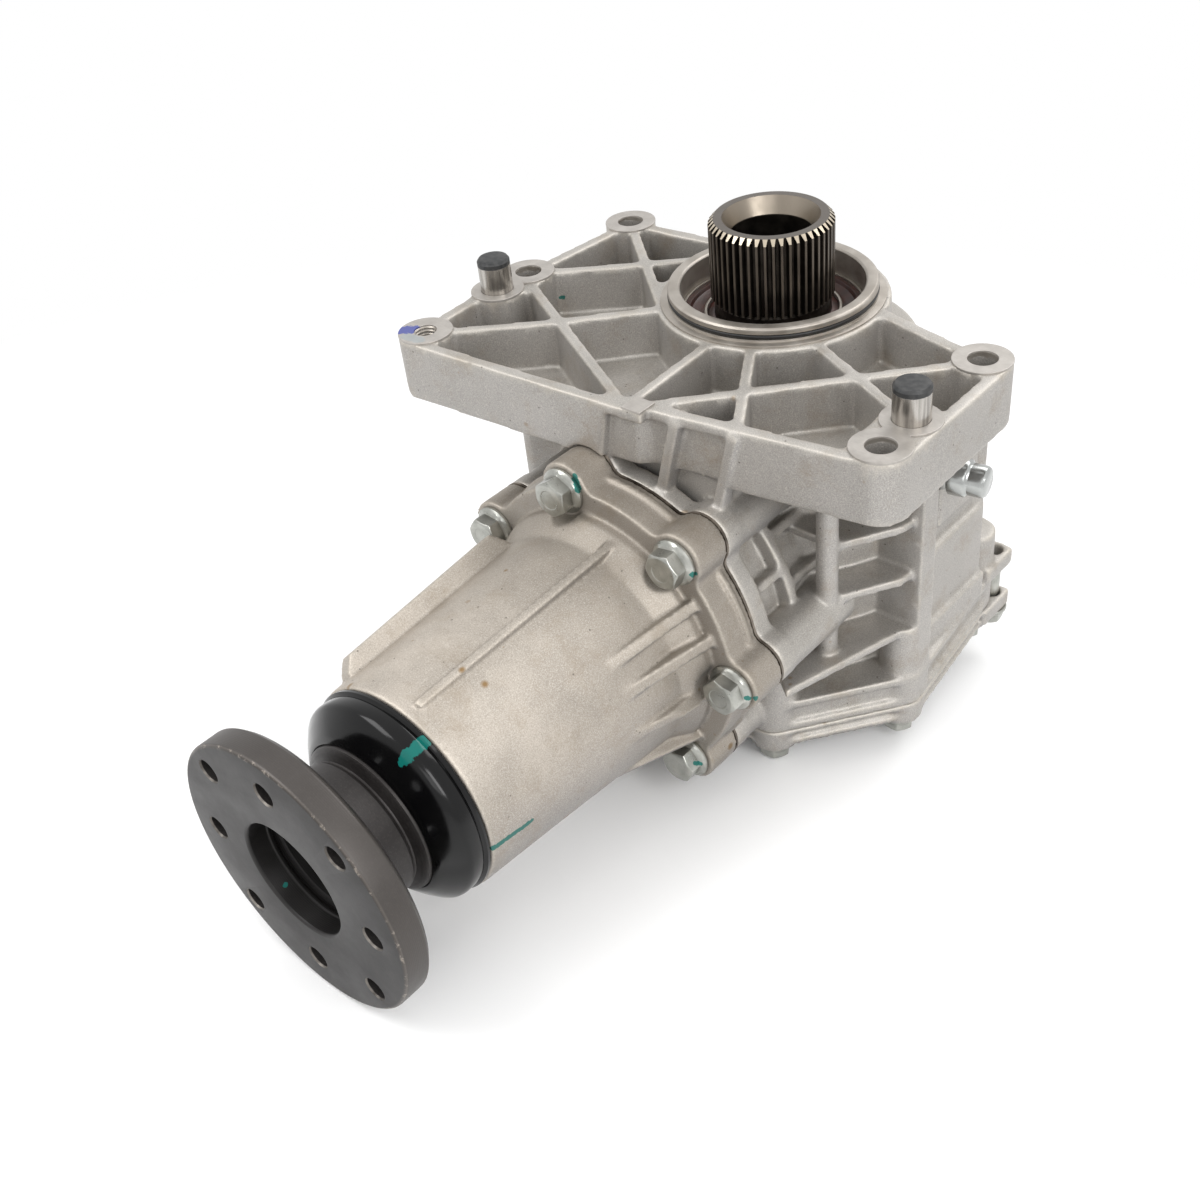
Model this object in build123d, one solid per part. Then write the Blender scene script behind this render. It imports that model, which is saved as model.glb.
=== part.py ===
from build123d import *
from math import acos, atan, atan2, cos, degrees, hypot, log, pi, radians, sin, tan
import os

os.makedirs("parts", exist_ok=True)

# Right-angle power take-off for all-wheel drive, in millimetres. The origin is on the input axis, in the
# machined mounting face. +Z runs out of that face along the input shaft, and the output leaves along -Y.

# Gear set
pinion_drop = 97.3
ring_teeth = 38
pinion_teeth = 15
ring_pitch_radius = 66.0
face_width = 21.0
spiral_angle = 30.0
pressure_angle = 20.0
addendum_shift = 0.35
root_clearance = 0.2
backlash = 0.30
ring_back = 141.0
ring_bore = 40.0
ring_bolt_circle = 54.0
ring_bolt_count = 10
carrier_flange = 8.0
carrier_radius = 61.0

# Mounting plate
plate_depth = 27.0
pocket_depth = 21.0
cast_top = 0.8
spigot_land = 46.3
wall = 5.5
rib = 4.6
pocket_corner = 2.0
boss_radius = 11.5
clearance_hole = 5.75
tapped_hole = 4.8
threaded_corner = (-104.0, -99.5)
left_dowel = (-104.5, -56.0)
left_hole = (-104.6, -36.3)
rear_hole = (-98.8, 26.6)
right_rear_hole = (98.5, -4.8)
right_dowel = (98.6, -54.9)
right_front_hole = (99.2, -75.5)
kink = (8.0, -99.0)
pad_size = 9.0
dowel_radius = 7.0
dowel_stand = 14.4
dowel_depth = 16.0
recess_depth = 4.0
recess_top = 5.5

# Spigot and input shaft
spigot_radius = 43.1
spigot_height = 5.85
spigot_bore = 37.8
spigot_boss = 48.2
seal_seat_depth = 14.0
seal_shoulder = 2.0
input_seal_width = 8.0
o_ring_cord = 1.8
groove_low = 1.0
groove_width = 2.2
spline_teeth = 48
spline_tip = 25.3
spline_root = 23.1
spline_chamfer = 2.2
shaft_top = 33.7
spline_length = 33.0
journal_radius = 24.0
shaft_bore = 16.7
shaft_mouth = 19.7
mouth_depth = 7.0
shaft_tail = 9.0
half_shaft_radius = 18.3
half_shaft_seal_radius = 30.0
half_shaft_seal_width = 6.4

# Gear chamber and cover
chamber_radius = 77.0
chamber_wall = 6.0
roof_depth = 28.0
shoulder_low = 78.0
rim_top = 141.0
split_depth = 157.0
cover_thickness = 11.0
cover_hub_drop = 5.0
cover_bolt_circle = 87.3
cover_boss = 10.0
rim_recess = 2.5
rim_flange = 4.0
bay_depth = 126.0
pilaster_width = 11.0
pilaster_depth = 40.0
cover_bolt_angles = (-56.0, -18.2, 30.8, 76.0, 118.0, 160.0, 201.0, 240.0)
shelf_depths = (62.0, 88.0)
low_shelf_depth = 116.0
shelf_thickness = 4.0
ear_reach = 87.0
ear_rear = 63.0
ear_thickness = 8.0
ear_hole = (80.0, 57.0)

# Output housing, by distance from the input axis
tunnel_radius = 56.0
pilot_radius = 50.0
case_face = 101.0
case_flange = 9.0
shim_thickness = 1.0
housing_flange = 16.8
housing_end = 231.2
housing_end_radius = 44.0
housing_root_radius = 50.0
flange_radius = 64.0
output_bolt_count = 7
output_bolt_circle = 63.5
pilot_start = 72.0
flange_corner = 5.0
head_start = 70.0
output_seal_start = 214.0
output_seal_radius = 36.0
output_seal_width = 12.0

# Output flange and shield
flange_face = 284.4
flange_disc_radius = 56.1
flange_disc = 12.5
flange_bore = 23.6
flange_bore_depth = 34.0
plain_hole_circle = 41.6
tapped_hole_circle = 47.0
flange_hole = 4.6
neck_radius = 27.7
collar_radius = 31.0
collar_start = 243.5
collar_end = 250.3
seal_land = 25.5
flange_pilot_depth = 14.0
output_spline = 14.0
nut_thread = 11.5
nut_height = 11.0
shield_radius = 42.6
shield_sheet = 1.5

# Bearings
input_bearing_width = 18.0
upper_bearing_radius = 37.0
lower_journal = 27.0
lower_bearing_radius = 40.0
head_journal = 17.5
head_bearing_radius = 36.0
head_bearing_width = 20.0
tail_journal = 15.0
tail_bearing_radius = 31.0
tail_bearing_width = 18.0
tail_bearing_end = 196.0

# Fits
seat_gap = 0.02
run_gap = 0.05
free_gap = 0.5
hole_gap = 0.5
thread_gap = 0.08

# Fasteners, plugs and breather
m10 = 5.0
m10_flats = 14.0
m10_washer = 9.6
m10_head = 9.0
m10_reach = 15.0
m8 = 4.0
m8_flats = 12.0
m8_washer = 8.0
m8_head = 7.5
m8_reach = 20.0
plug_radius = 9.0
plug_boss = 14.0
washer_thickness = 1.5
breather_thread = 5.0

split_face = -split_depth
cover_low = split_face - cover_thickness
hub_low = cover_low - cover_hub_drop
upper_bearing_top = -seal_seat_depth - seal_shoulder
carrier_low = -ring_back - carrier_flange
shaft_bottom = split_face - shaft_tail
housing_face = case_face + shim_thickness
nut_seat = flange_face - flange_bore_depth
mesh_height = -pinion_drop
ring_angle = degrees(atan2(ring_teeth, pinion_teeth))
pinion_angle = 90.0 - ring_angle
outer_cone = ring_pitch_radius / sin(radians(ring_angle))
inner_cone = outer_cone - face_width
mean_cone = outer_cone - face_width / 2
output_axis = Plane(origin=(0, 0, mesh_height), x_dir=(1, 0, 0), z_dir=(0, -1, 0)).location
rear_spot = Pos(0, chamber_radius + 1 + washer_thickness, -102) * Rot(-90, 0, 0)
drain_spot = Rot(0, 0, 97) * Pos(60, 0, cover_low - washer_thickness) * Rot(180, 0, 0)
breather_spot = Pos(83, -6, -55) * Rot(0, 0, 10) * Rot(0, 90, 0)


def disc(radius, low, high):
    return Pos(0, 0, low) * Cylinder(radius, high - low, align=(Align.CENTER, Align.CENTER, Align.MIN))


def tube(outer, inner, low, high):
    return disc(outer, low, high) - disc(inner, low - 1, high + 1)


def spin(points):
    """Solid of revolution about Z from a closed outline of (radius, height) points."""
    outline = make_face(Polyline([(r, 0, z) for r, z in points], close=True))
    return revolve(outline, Axis.Z, 360)


def slab(outline, low, high):
    return Pos(0, 0, low) * extrude(outline, high - low)


def strip(start, end, width):
    """Flat straight bar between two points."""
    length = hypot(end[0] - start[0], end[1] - start[1])
    turn = degrees(atan2(end[1] - start[1], end[0] - start[0]))
    middle = ((start[0] + end[0]) / 2, (start[1] + end[1]) / 2)
    return Pos(*middle) * Rot(0, 0, turn) * Rectangle(length, width)


def around(radius, angle):
    return (radius * cos(radians(angle)), radius * sin(radians(angle)))


def spot(point, radius):
    return Pos(*point) * Circle(radius)


def hull_of(points, radius):
    edges = []
    for point in points:
        edges += spot(point, radius).edges()
    return make_hull(edges)


def to_output(part):
    """Moves a part from its own axis frame, +Z towards the output, onto the output axis."""
    return output_axis * part


def save(name, *solids):
    part = solids[0] if len(solids) == 1 else Compound(children=list(solids))
    export_step(part, "parts/" + name + ".step")


cover_bolt_spots = [around(cover_bolt_circle, a) for a in cover_bolt_angles]
output_bolt_spots = [
    around(output_bolt_circle, k * 360 / output_bolt_count) for k in range(output_bolt_count)
]
plate_bosses = (
    threaded_corner,
    left_dowel,
    left_hole,
    rear_hole,
    right_rear_hole,
    right_dowel,
    right_front_hole,
)


# Mounting plate of the main case
def plate_corners():
    """Centre line of the outer wall, from the threaded corner round to the front kink."""
    inset = boss_radius - wall / 2
    return [
        (threaded_corner[0] - 2, threaded_corner[1] - inset),
        (left_dowel[0] - 4, left_dowel[1]),
        left_hole,
        rear_hole,
        around(spigot_boss - 2, 138),
        around(spigot_boss - 2, 12),
        right_rear_hole,
        (right_rear_hole[0] + inset, right_rear_hole[1]),
        (right_front_hole[0] + inset, right_front_hole[1]),
        (right_front_hole[0], right_front_hole[1] - inset),
        (kink[0] + 5, kink[1] + 2.5),
        (kink[0], kink[1] - 2),
    ]


def plate_walls():
    corners = plate_corners()
    walls = [strip(a, b, wall) for a, b in zip(corners, corners[1:] + corners[:1])]
    return walls + [spot(c, wall / 2) for c in corners]


def plate_ribs():
    """The lattice that ties the bosses to the spigot ring."""
    left_cross = (-63.0, -64.0)
    rear_cross = (-69.3, -6.6)
    ring = spigot_boss - 2
    return [
        strip(rear_hole, around(ring, 219), rib),
        strip(left_hole, rear_cross, rib),
        strip(rear_cross, around(ring, 158), rib),
        strip(threaded_corner, left_cross, rib),
        strip(left_cross, around(ring, 225), rib),
        strip((left_hole[0] + 4, left_hole[1] - 5), (kink[0] - 6, kink[1]), rib),
        strip((kink[0] - 3, kink[1]), around(ring, 273), rib),
        strip((50.5, -92.5), around(ring, 295), rib),
        strip(kink, right_rear_hole, rib),
        strip(right_dowel, around(ring, 327), rib),
    ]


def plate_outline():
    corners = plate_corners()
    area = make_face(Polyline(*corners, close=True))
    for wall_piece in plate_walls():
        area += wall_piece
    for point in plate_bosses:
        area += spot(point, boss_radius)
    area += strip(left_dowel, left_hole, 2 * boss_radius)
    area += strip(right_dowel, right_front_hole, 2 * boss_radius)
    area += Circle(spigot_boss)
    area += Pos(kink[0] + 2, kink[1]) * Rectangle(pad_size, pad_size)
    return area


def plate_pockets():
    open_area = make_face(Polyline(*plate_corners(), close=True)) - Circle(spigot_boss)
    solid_lines = plate_walls() + plate_ribs() + [spot(p, boss_radius) for p in plate_bosses]
    solid_lines.append(strip(left_dowel, left_hole, 2 * boss_radius))
    solid_lines.append(strip(right_dowel, right_front_hole, 2 * boss_radius))
    solid_lines.append(Pos(kink[0] + 2, kink[1]) * Rectangle(pad_size, pad_size))
    for line in solid_lines:
        open_area -= line
    pockets = []
    for face in open_area.faces():
        if face.area > 60:
            pockets.append(offset(offset(face, -pocket_corner), pocket_corner))
    return pockets


def milled_pads():
    """Raised faces that are milled flush and carry the unit."""
    pads = [spot(point, boss_radius) for point in (threaded_corner, rear_hole, right_rear_hole)]
    for dowel, hole in ((left_dowel, left_hole), (right_dowel, right_front_hole)):
        pads.append(spot(dowel, boss_radius) + spot(hole, boss_radius) + strip(dowel, hole, boss_radius))
    pads.append(Pos(kink[0] + 2, kink[1]) * Rectangle(pad_size, pad_size))
    pads.append(Circle(spigot_land))
    return pads


def set_back_front(plate):
    """Steps the front wall inwards over the output, where ribs stand out to its face."""
    corners = plate_corners()
    ends = [(-7, kink[1] - 3), corners[-1], corners[-2], (47, kink[1] + 7.3)]
    for start, end in zip(ends, ends[1:]):
        plate += slab(Pos(0, recess_depth) * strip(start, end, wall), -plate_depth, -recess_top)
    inside = [(x, y + recess_depth - wall / 2) for x, y in ends]
    outside = [(ends[-1][0], threaded_corner[1] - 20), (ends[0][0], threaded_corner[1] - 20)]
    return plate - slab(make_face(Polyline(*inside, *outside, close=True)), -plate_depth - 1, -recess_top)


# Outlines that the castings share
def rim_outline():
    return hull_of(cover_bolt_spots, cover_boss)


def waisted(low, high):
    """Rim between the bolt bosses, set back so that a ridge and the bosses stand out."""
    core = slab(offset(rim_outline(), -rim_recess), low, high)
    for point in cover_bolt_spots:
        core += Pos(*point) * disc(cover_boss, low, high)
    return core


def flange_outline():
    """Scalloped outline of the output flange, with a boss round each bolt."""
    area = Sketch() + Circle(flange_radius)
    for point in output_bolt_spots:
        area += spot(point, boss_radius)
    inner_corners = [v for v in area.vertices() if hypot(v.X, v.Y) < flange_radius + 1]
    return fillet(inner_corners, flange_corner)


def ear(low, high):
    length = ear_rear - 40
    width = ear_reach - 62
    area = Pos(ear_reach - width / 2, ear_rear - length / 2) * RectangleRounded(width, length, 2.0)
    return slab(area, low, high)


# Main case
def main_case():
    case = slab(plate_outline(), -plate_depth, -cast_top)
    for pocket in plate_pockets():
        case -= slab(pocket, -pocket_depth, 1)
    case = set_back_front(case)
    for pad in milled_pads():
        case += slab(pad, -cast_top - 1, 0)
    case += disc(spigot_radius, -1, spigot_height)
    case += chamber_body()
    case += left_buttress()
    case += slab(rim_outline(), split_face, split_face + rim_flange)
    case += waisted(split_face, -rim_top - rim_flange)
    case += slab(rim_outline(), -rim_top - rim_flange, -rim_top)
    case += right_side()
    case += output_side()
    case += rear_spot * disc(plug_boss, -12, -washer_thickness)
    case -= to_output(slab(offset(flange_outline(), free_gap), case_face, case_face + housing_flange))
    case -= slab(offset(rim_outline(), free_gap), split_face - bay_depth, split_face)
    case -= chamber_cuts()
    case -= output_cuts()
    case -= plate_holes()
    return case


def chamber_body():
    """Round gear chamber with a coned shoulder up to the spigot ring."""
    return spin(
        [
            (0, -pocket_depth - 1),
            (spigot_boss - 1, -pocket_depth - 1),
            (spigot_boss + 12, -pocket_depth - 1),
            (chamber_radius, -shoulder_low),
            (chamber_radius, -rim_top - 1),
            (0, -rim_top - 1),
        ]
    )


def left_buttress():
    """Web under the long side of the plate, which stiffens it against the output housing."""
    corner = (-82.0, -66.0)
    area = make_hull(Circle(30).edges() + spot(corner, 6.0).edges())
    return slab(area, -112, -plate_depth + 1)


def right_side():
    """Shelves, pilaster, flat panel, bolt columns and ears on the side away from the long wing."""
    second = cover_bolt_spots[1]
    third = cover_bolt_spots[2]
    under_plate = -plate_depth + 1
    pilaster = Rectangle(pilaster_depth, pilaster_width)
    inset = second[0] + cover_boss - 1 - pilaster_depth / 2
    body = slab(Pos(inset, second[1] + 3) * pilaster, split_face, under_plate)
    shelf = make_face(Polyline((30, -60), (72, -61), (87, -37), (89, -26), (60, -20), close=True))
    for depth in shelf_depths:
        body += slab(shelf, -depth - shelf_thickness, -depth)
    low_shelf = make_face(Polyline((30, -60), (70, -93), (89, -29), (60, -20), close=True))
    body += slab(low_shelf, -low_shelf_depth - shelf_thickness, -low_shelf_depth)
    body += Pos(68.5, -62) * disc(4.5, -low_shelf_depth - 1, under_plate)
    for outer, top in ((82, under_plate), (85, -92), (87.5, -128)):
        panel = Pos(outer - 20, 7) * Rectangle(40, 54)
        body += slab(panel, -rim_top - 1, top)
    body += slab(Pos(82, 12) * Rectangle(4, 30), -84, -60)
    body += Pos(*third) * disc(cover_boss, split_face, -116)
    body += Pos(79, 33) * disc(5, -118, under_plate)
    body += ear(-rim_top, -rim_top + ear_thickness)
    body += Pos(*second) * disc(cover_boss - 1, split_face, -low_shelf_depth)
    for index in (0, 3, 4, 5, 6, 7):
        body += Pos(*cover_bolt_spots[index]) * disc(cover_boss, split_face, -bay_depth)
    return body


def output_side():
    """Tunnel, bolt flange, boss columns and ribs that carry the output housing."""
    body = slab(flange_outline(), case_face - case_flange, case_face)
    body += disc(tunnel_radius, 30, case_face)
    for index, start in enumerate((50, 50, 62, 62, 62, 62, 62)):
        body += Pos(*output_bolt_spots[index]) * disc(boss_radius - 0.5, start, case_face - 1)
    body += tube(tunnel_radius + 6.5, tunnel_radius - 3, 71.5, 76.5)
    web = Pos(tunnel_radius - 3, 0) * Rectangle(18, 4)
    for angle, start in ((24, 74), (-26, 60), (129, 66), (180, 66)):
        body += slab(Rot(0, 0, angle) * web, start, case_face - 2)
    for angle, start in ((17, 44), (37, 52)):
        body += slab(Rot(0, 0, angle) * web, start, 74)
    body = to_output(body)
    body += slab(Pos(17, -77.5) * Rectangle(52, 25), -62, -plate_depth + 1)
    body += gusset((-8, -104.4, -24), (-4, -3))
    body += gusset((17, -98.6, -36), (26, -3))
    body += gusset((41, -95.4, -38), (50, -3))
    return body


def gusset(foot, head):
    """Leaning rib on the front wall, from its foot on the output flange up to its head (x, z)."""
    length = hypot(head[0] - foot[0], head[1] - foot[2])
    lean = degrees(atan2(head[0] - foot[0], head[1] - foot[2]))
    side = Pos(length / 2 - 1, 3.5) * Rectangle(length + 2, 7)
    return Pos(*foot) * Rot(0, lean - 90, 0) * extrude(side, rib / 2, both=True)


def chamber_cuts():
    inner = chamber_radius - chamber_wall
    hub = upper_bearing_radius + 7
    cut = spin(
        [
            (0, split_face - 1),
            (inner, split_face - 1),
            (inner, -shoulder_low - 3),
            (hub + 6, -roof_depth - 3),
            (hub, -roof_depth - 3),
            (hub, -36),
            (0, -36),
        ]
    )
    cut += disc(spigot_bore, -seal_seat_depth, spigot_height + 1)
    cut += disc(upper_bearing_radius - 4, -40, 0)
    cut += disc(upper_bearing_radius, -40, upper_bearing_top)
    cut += tube(spigot_radius + 1, spigot_radius - o_ring_cord, groove_low, groove_low + groove_width)
    for point in cover_bolt_spots:
        cut += Pos(*point) * disc(m8, split_face - 1, split_face + m8_reach + 4)
    cut += Pos(*ear_hole) * disc(m8, -rim_top - 1, -rim_top + ear_thickness + 1)
    cut += Pos(*ear_hole) * disc(m8 + hole_gap, split_face - 1, -rim_top)
    cut += rear_spot * disc(plug_radius, -20, 1)
    cut += breather_spot * disc(breather_thread, -7, 1)
    cut += breather_spot * disc(8.5, 0, 10)
    return cut


def output_cuts():
    cut = disc(pilot_radius, 30, case_face + 1)
    for point in output_bolt_spots:
        cut += Pos(*point) * disc(m10, case_face - m10_reach - 2, case_face + 1)
    return to_output(cut)


def plate_holes():
    cut = Pos(*threaded_corner) * disc(tapped_hole, -plate_depth - 1, 1)
    for point in (left_hole, rear_hole, right_rear_hole, right_front_hole):
        cut += Pos(*point) * disc(clearance_hole, -plate_depth - 1, 1)
    for point in (left_dowel, right_dowel):
        cut += Pos(*point) * disc(dowel_radius + seat_gap, -dowel_depth, 1)
    return cut


# Bottom cover
def bottom_cover():
    low = cover_low
    hub_radius = lower_bearing_radius + 5
    cover = waisted(low, split_face) + slab(rim_outline(), split_face - 2.5, split_face)
    cover += slab(offset(rim_outline(), -0.5), low + 2.5, low + 5.0)
    cover -= disc(chamber_radius - chamber_wall - 4, low + 5, split_face + 1)
    cover += disc(hub_radius, hub_low, split_face + 7)
    for angle in cover_bolt_angles:
        spoke = Rot(0, 0, angle) * Pos(58, 0) * Rectangle(40, 5)
        cover += slab(spoke, low - 2, low + 1)
    cover += ear(split_face - ear_thickness, split_face)
    cover -= disc(lower_bearing_radius, low + 3, split_face + 8)
    cover -= disc(lower_journal + 2, low + 0.5, split_face)
    cover -= disc(half_shaft_seal_radius, hub_low - 1, low + 1.5)
    for point in cover_bolt_spots + [ear_hole]:
        cover -= Pos(*point) * disc(m8 + hole_gap, low - 3, split_face + 1)
    cover -= Pos(*ear_hole) * disc(m8_washer + 1, low - 3, split_face - ear_thickness)
    cover += drain_spot * disc(plug_boss, -12, -washer_thickness)
    cover -= drain_spot * disc(plug_radius, -20, 1)
    return cover


# Output housing
def output_housing():
    body_start = housing_face + housing_flange
    body = spin(
        [
            (0, housing_face + 2),
            (housing_root_radius + 5, housing_face + 2),
            (housing_root_radius + 5, body_start + 4),
            (housing_root_radius, body_start + 14),
            (housing_end_radius + 2, housing_end - 36),
            (housing_end_radius, housing_end),
            (0, housing_end),
        ]
    )
    body += slab(flange_outline(), housing_face, body_start)
    body += tube(flange_radius + 1.4, flange_radius - 2, housing_face + 3, housing_face + 5.5)
    body += disc(pilot_radius - seat_gap, pilot_start, housing_face + 1)
    body += housing_ribs(body_start)
    for point in output_bolt_spots:
        body -= Pos(*point) * disc(m10 + hole_gap, housing_face - 1, body_start + 1)
        body -= Pos(*point) * disc(m10_washer + 1.5, body_start, body_start + 40)
    body -= housing_bores()
    return to_output(body)


def housing_ribs(start):
    """Fins cast along the taper: one deep one, one flat ridge and short ones that fade out."""
    end = housing_end - 12
    deep = make_face(
        Polyline((30, start), (58, start + 22), (51.5, end), (46, end + 5), (30, end + 5), close=True)
    )
    ribs = Rot(0, 0, 133) * thick_fin(deep, 9.0)
    ridge = make_face(Polyline((40, start), (54.5, start), (46.2, end + 7), (40, end + 7), close=True))
    ribs += Rot(0, 0, 74.5) * thick_fin(ridge, 3.5)
    fade = start + 46
    short = make_face(Polyline((30, start - 3), (60, start - 3), (47.0, fade), (30, fade), close=True))
    for angle in (34.5, 19, -5, -38, -77, 180, 231):
        ribs += Rot(0, 0, angle) * thick_fin(short, 5.0)
    return ribs


def thick_fin(outline, width):
    """Fin in the plane of the axis, from an outline of (radius, distance along the axis)."""
    upright = Plane(origin=(0, width / 2, 0), x_dir=(1, 0, 0), z_dir=(0, -1, 0))
    return upright.location * extrude(outline, width)


def housing_bores():
    head_seat = head_start + head_bearing_width
    tail_seat = tail_bearing_end - tail_bearing_width
    return spin(
        [
            (0, pilot_start - 1),
            (head_bearing_radius, pilot_start - 1),
            (head_bearing_radius, head_seat),
            (head_bearing_radius - 5, head_seat),
            (head_bearing_radius - 5, head_seat + 8),
            (tail_bearing_radius + 5, head_seat + 24),
            (tail_bearing_radius + 5, tail_seat - 14),
            (tail_bearing_radius - 4, tail_seat - 6),
            (tail_bearing_radius - 4, tail_seat),
            (tail_bearing_radius, tail_seat),
            (tail_bearing_radius, output_seal_start),
            (output_seal_radius, output_seal_start),
            (output_seal_radius, housing_end + 1),
            (0, housing_end + 1),
        ]
    )


def output_shim():
    shim = slab(flange_outline(), case_face, case_face + shim_thickness)
    shim -= disc(pilot_radius + 0.3, case_face - 1, case_face + 3)
    for point in output_bolt_spots:
        shim -= Pos(*point) * disc(m10 + hole_gap, case_face - 1, case_face + 3)
    return to_output(shim)


# Fasteners, plugs and seals
def flange_bolt(thread, flats, flange_r, head, length):
    """Hexagon flange bolt with its seat at z=0 and its head above."""
    hexagon = extrude(RegularPolygon(flats / 2, 6, major_radius=False), head)
    return hexagon + disc(flange_r, 0, 2.0) + disc(thread, -length, 0.5)


def housing_bolts():
    seat = housing_face + housing_flange
    bolt = flange_bolt(m10 - thread_gap, m10_flats, m10_washer, m10_head, seat - case_face + m10_reach)
    return [to_output(Pos(p[0], p[1], seat) * bolt) for p in output_bolt_spots]


def cover_bolts():
    shank = m8 - thread_gap
    bolt = flange_bolt(shank, m8_flats, m8_washer, m8_head, cover_thickness + m8_reach)
    bolts = [Pos(p[0], p[1], cover_low) * Rot(180, 0, 0) * bolt for p in cover_bolt_spots]
    reach = split_depth - rim_top + 2 * ear_thickness
    ear_bolt = Rot(180, 0, 0) * flange_bolt(shank, m8_flats, m8_washer, m8_head, reach)
    return bolts + [Pos(ear_hole[0], ear_hole[1], split_face - ear_thickness) * ear_bolt]


def dowel_pins():
    pin = disc(dowel_radius, -dowel_depth + 0.5, dowel_stand)
    pin -= tube(dowel_radius + 1, dowel_radius - 0.5, -2.0, 0)
    pin = chamfer(pin.edges().sort_by(Axis.Z)[-1], 1.0)
    return [Pos(*point) * pin for point in (left_dowel, right_dowel)]


def o_ring():
    middle = spigot_radius - o_ring_cord / 2 + 0.1
    return Pos(0, 0, groove_low + groove_width / 2) * Torus(middle, o_ring_cord / 2)


def shaft_seal(outer, inner, low, high, lip):
    """Rubber-cased radial seal; the lip side is the end at low."""
    body = spin(
        [
            (outer, low),
            (outer, high),
            (inner + 3.5, high),
            (inner + 2.0, high - 1.5),
            (inner + 2.6, high - 3.0),
            (inner, (low + high) / 2 + 0.4),
            (inner, (low + high) / 2 - 0.4),
            (inner + lip, low + 0.8),
            (outer - 2.5, low + 1.2),
            (outer - 2.5, low),
        ]
    )
    return body


def input_seal():
    low = -seal_seat_depth
    return shaft_seal(spigot_bore - seat_gap, journal_radius + run_gap, low, low + input_seal_width, 2.0)


def output_seal():
    low = output_seal_start
    seal = shaft_seal(output_seal_radius - seat_gap, seal_land + run_gap, low, low + output_seal_width, 2.5)
    return to_output(seal)


def half_shaft_seal():
    high = -hub_low
    low = high - half_shaft_seal_width
    return mirror(shaft_seal(half_shaft_seal_radius - seat_gap, half_shaft_radius, low, high, 3.0), Plane.XY)


def plug(radius, length):
    """Collared plug with a hexagon socket, seated at z=0."""
    body = disc(radius - thread_gap, -length, 0.2) + disc(radius + 4, 0, 3.5)
    return body - slab(RegularPolygon(5.0, 6, major_radius=False), -5, 4)


# Plug places on the hidden rear wall of the chamber and under the cover
def filler_plug():
    return rear_spot * plug(plug_radius, 10)


def drain_plug():
    return drain_spot * plug(plug_radius, 8)


def plug_washers():
    ring = tube(plug_radius + 3.5, plug_radius + 0.2, -washer_thickness, 0)
    return [rear_spot * ring, drain_spot * ring]


def breather_body():
    stem = extrude(RegularPolygon(6.5, 6, major_radius=False), 4.0) + disc(3.4, 3, 9) + disc(2.4, 8, 15)
    return breather_spot * (stem + disc(breather_thread - thread_gap, -6, 0.5))


def breather_cap():
    outside = [(7.8, 6), (7.8, 13), (6.6, 14), (6.6, 20), (5.2, 21.5), (0, 21.5)]
    return breather_spot * spin([(3.5, 6)] + outside + [(0, 17), (3.5, 17)])


# Taper roller bearings
def taper_bearing(bore, outer, width, count):
    """Cup, cone, rollers and cage; the cone's back face is at z=0 and the cup's back face at z=width."""
    tilt = radians(13)
    mean = bore + (outer - bore) * 0.47
    roller = (outer - bore) * 0.2
    half = width * 0.3
    taper = atan(roller * sin(tilt) / mean)
    middle = width * 0.47

    def along(distance, side):
        """Point on the roller's outside (side 1) or inside (side -1) line."""
        size = roller + distance * tan(taper) + run_gap / 2
        radius = mean + distance * sin(tilt) + side * size * cos(tilt)
        height = middle - distance * cos(tilt) + side * size * sin(tilt)
        return radius, height

    reach = half + 1.2
    wide = along(reach, 1)
    narrow = along(-reach, 1)
    race = outer - seat_gap
    cup = spin([wide, narrow, (narrow[0], width), (race, width), (race, wide[1])])
    large = along(half + 0.5, -1)
    small = along(-half - 0.3, -1)
    rise = roller * 0.45
    inside = bore + seat_gap
    back_rib = [(large[0] + rise, 0), (large[0] + rise, large[1] - 0.2)]
    front_rib = [(small[0] + rise, small[1] + 0.6), (small[0] + rise, width - 1.5)]
    cone = spin([(inside, 0)] + back_rib + [large, small] + front_rib + [(inside, width - 1.5)])
    frame = Pos(mean, 0, middle) * Rot(0, 180 - degrees(tilt), 0)
    barrel = frame * Cone(roller - half * tan(taper), roller + half * tan(taper), 2 * half)
    rollers = [Rot(0, 0, k * 360 / count) * barrel for k in range(count)]
    top = (mean + (half + 1.4) * sin(tilt), middle - (half + 1.4) * cos(tilt))
    low = (mean - (half + 1.4) * sin(tilt), middle + (half + 1.4) * cos(tilt))
    sheet = 0.6
    upper_edge = [(top[0] - sheet, top[1]), (top[0] + sheet, top[1])]
    lower_edge = [(low[0] + sheet, low[1]), (low[0] - sheet, low[1])]
    cage = spin(upper_edge + lower_edge)
    window = frame * Box(6, 2 * roller + 0.8, 2 * half + 0.5)
    for k in range(count):
        cage -= Rot(0, 0, k * 360 / count) * window
    return cup, cone, rollers, cage


# Bevel gears
def gear_point(distance, rise, cone_angle):
    """Radius and axial distance of a point that stands off the pitch cone by rise."""
    a = radians(cone_angle)
    return distance * sin(a) + rise * cos(a), distance * cos(a) - rise * sin(a)


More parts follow.
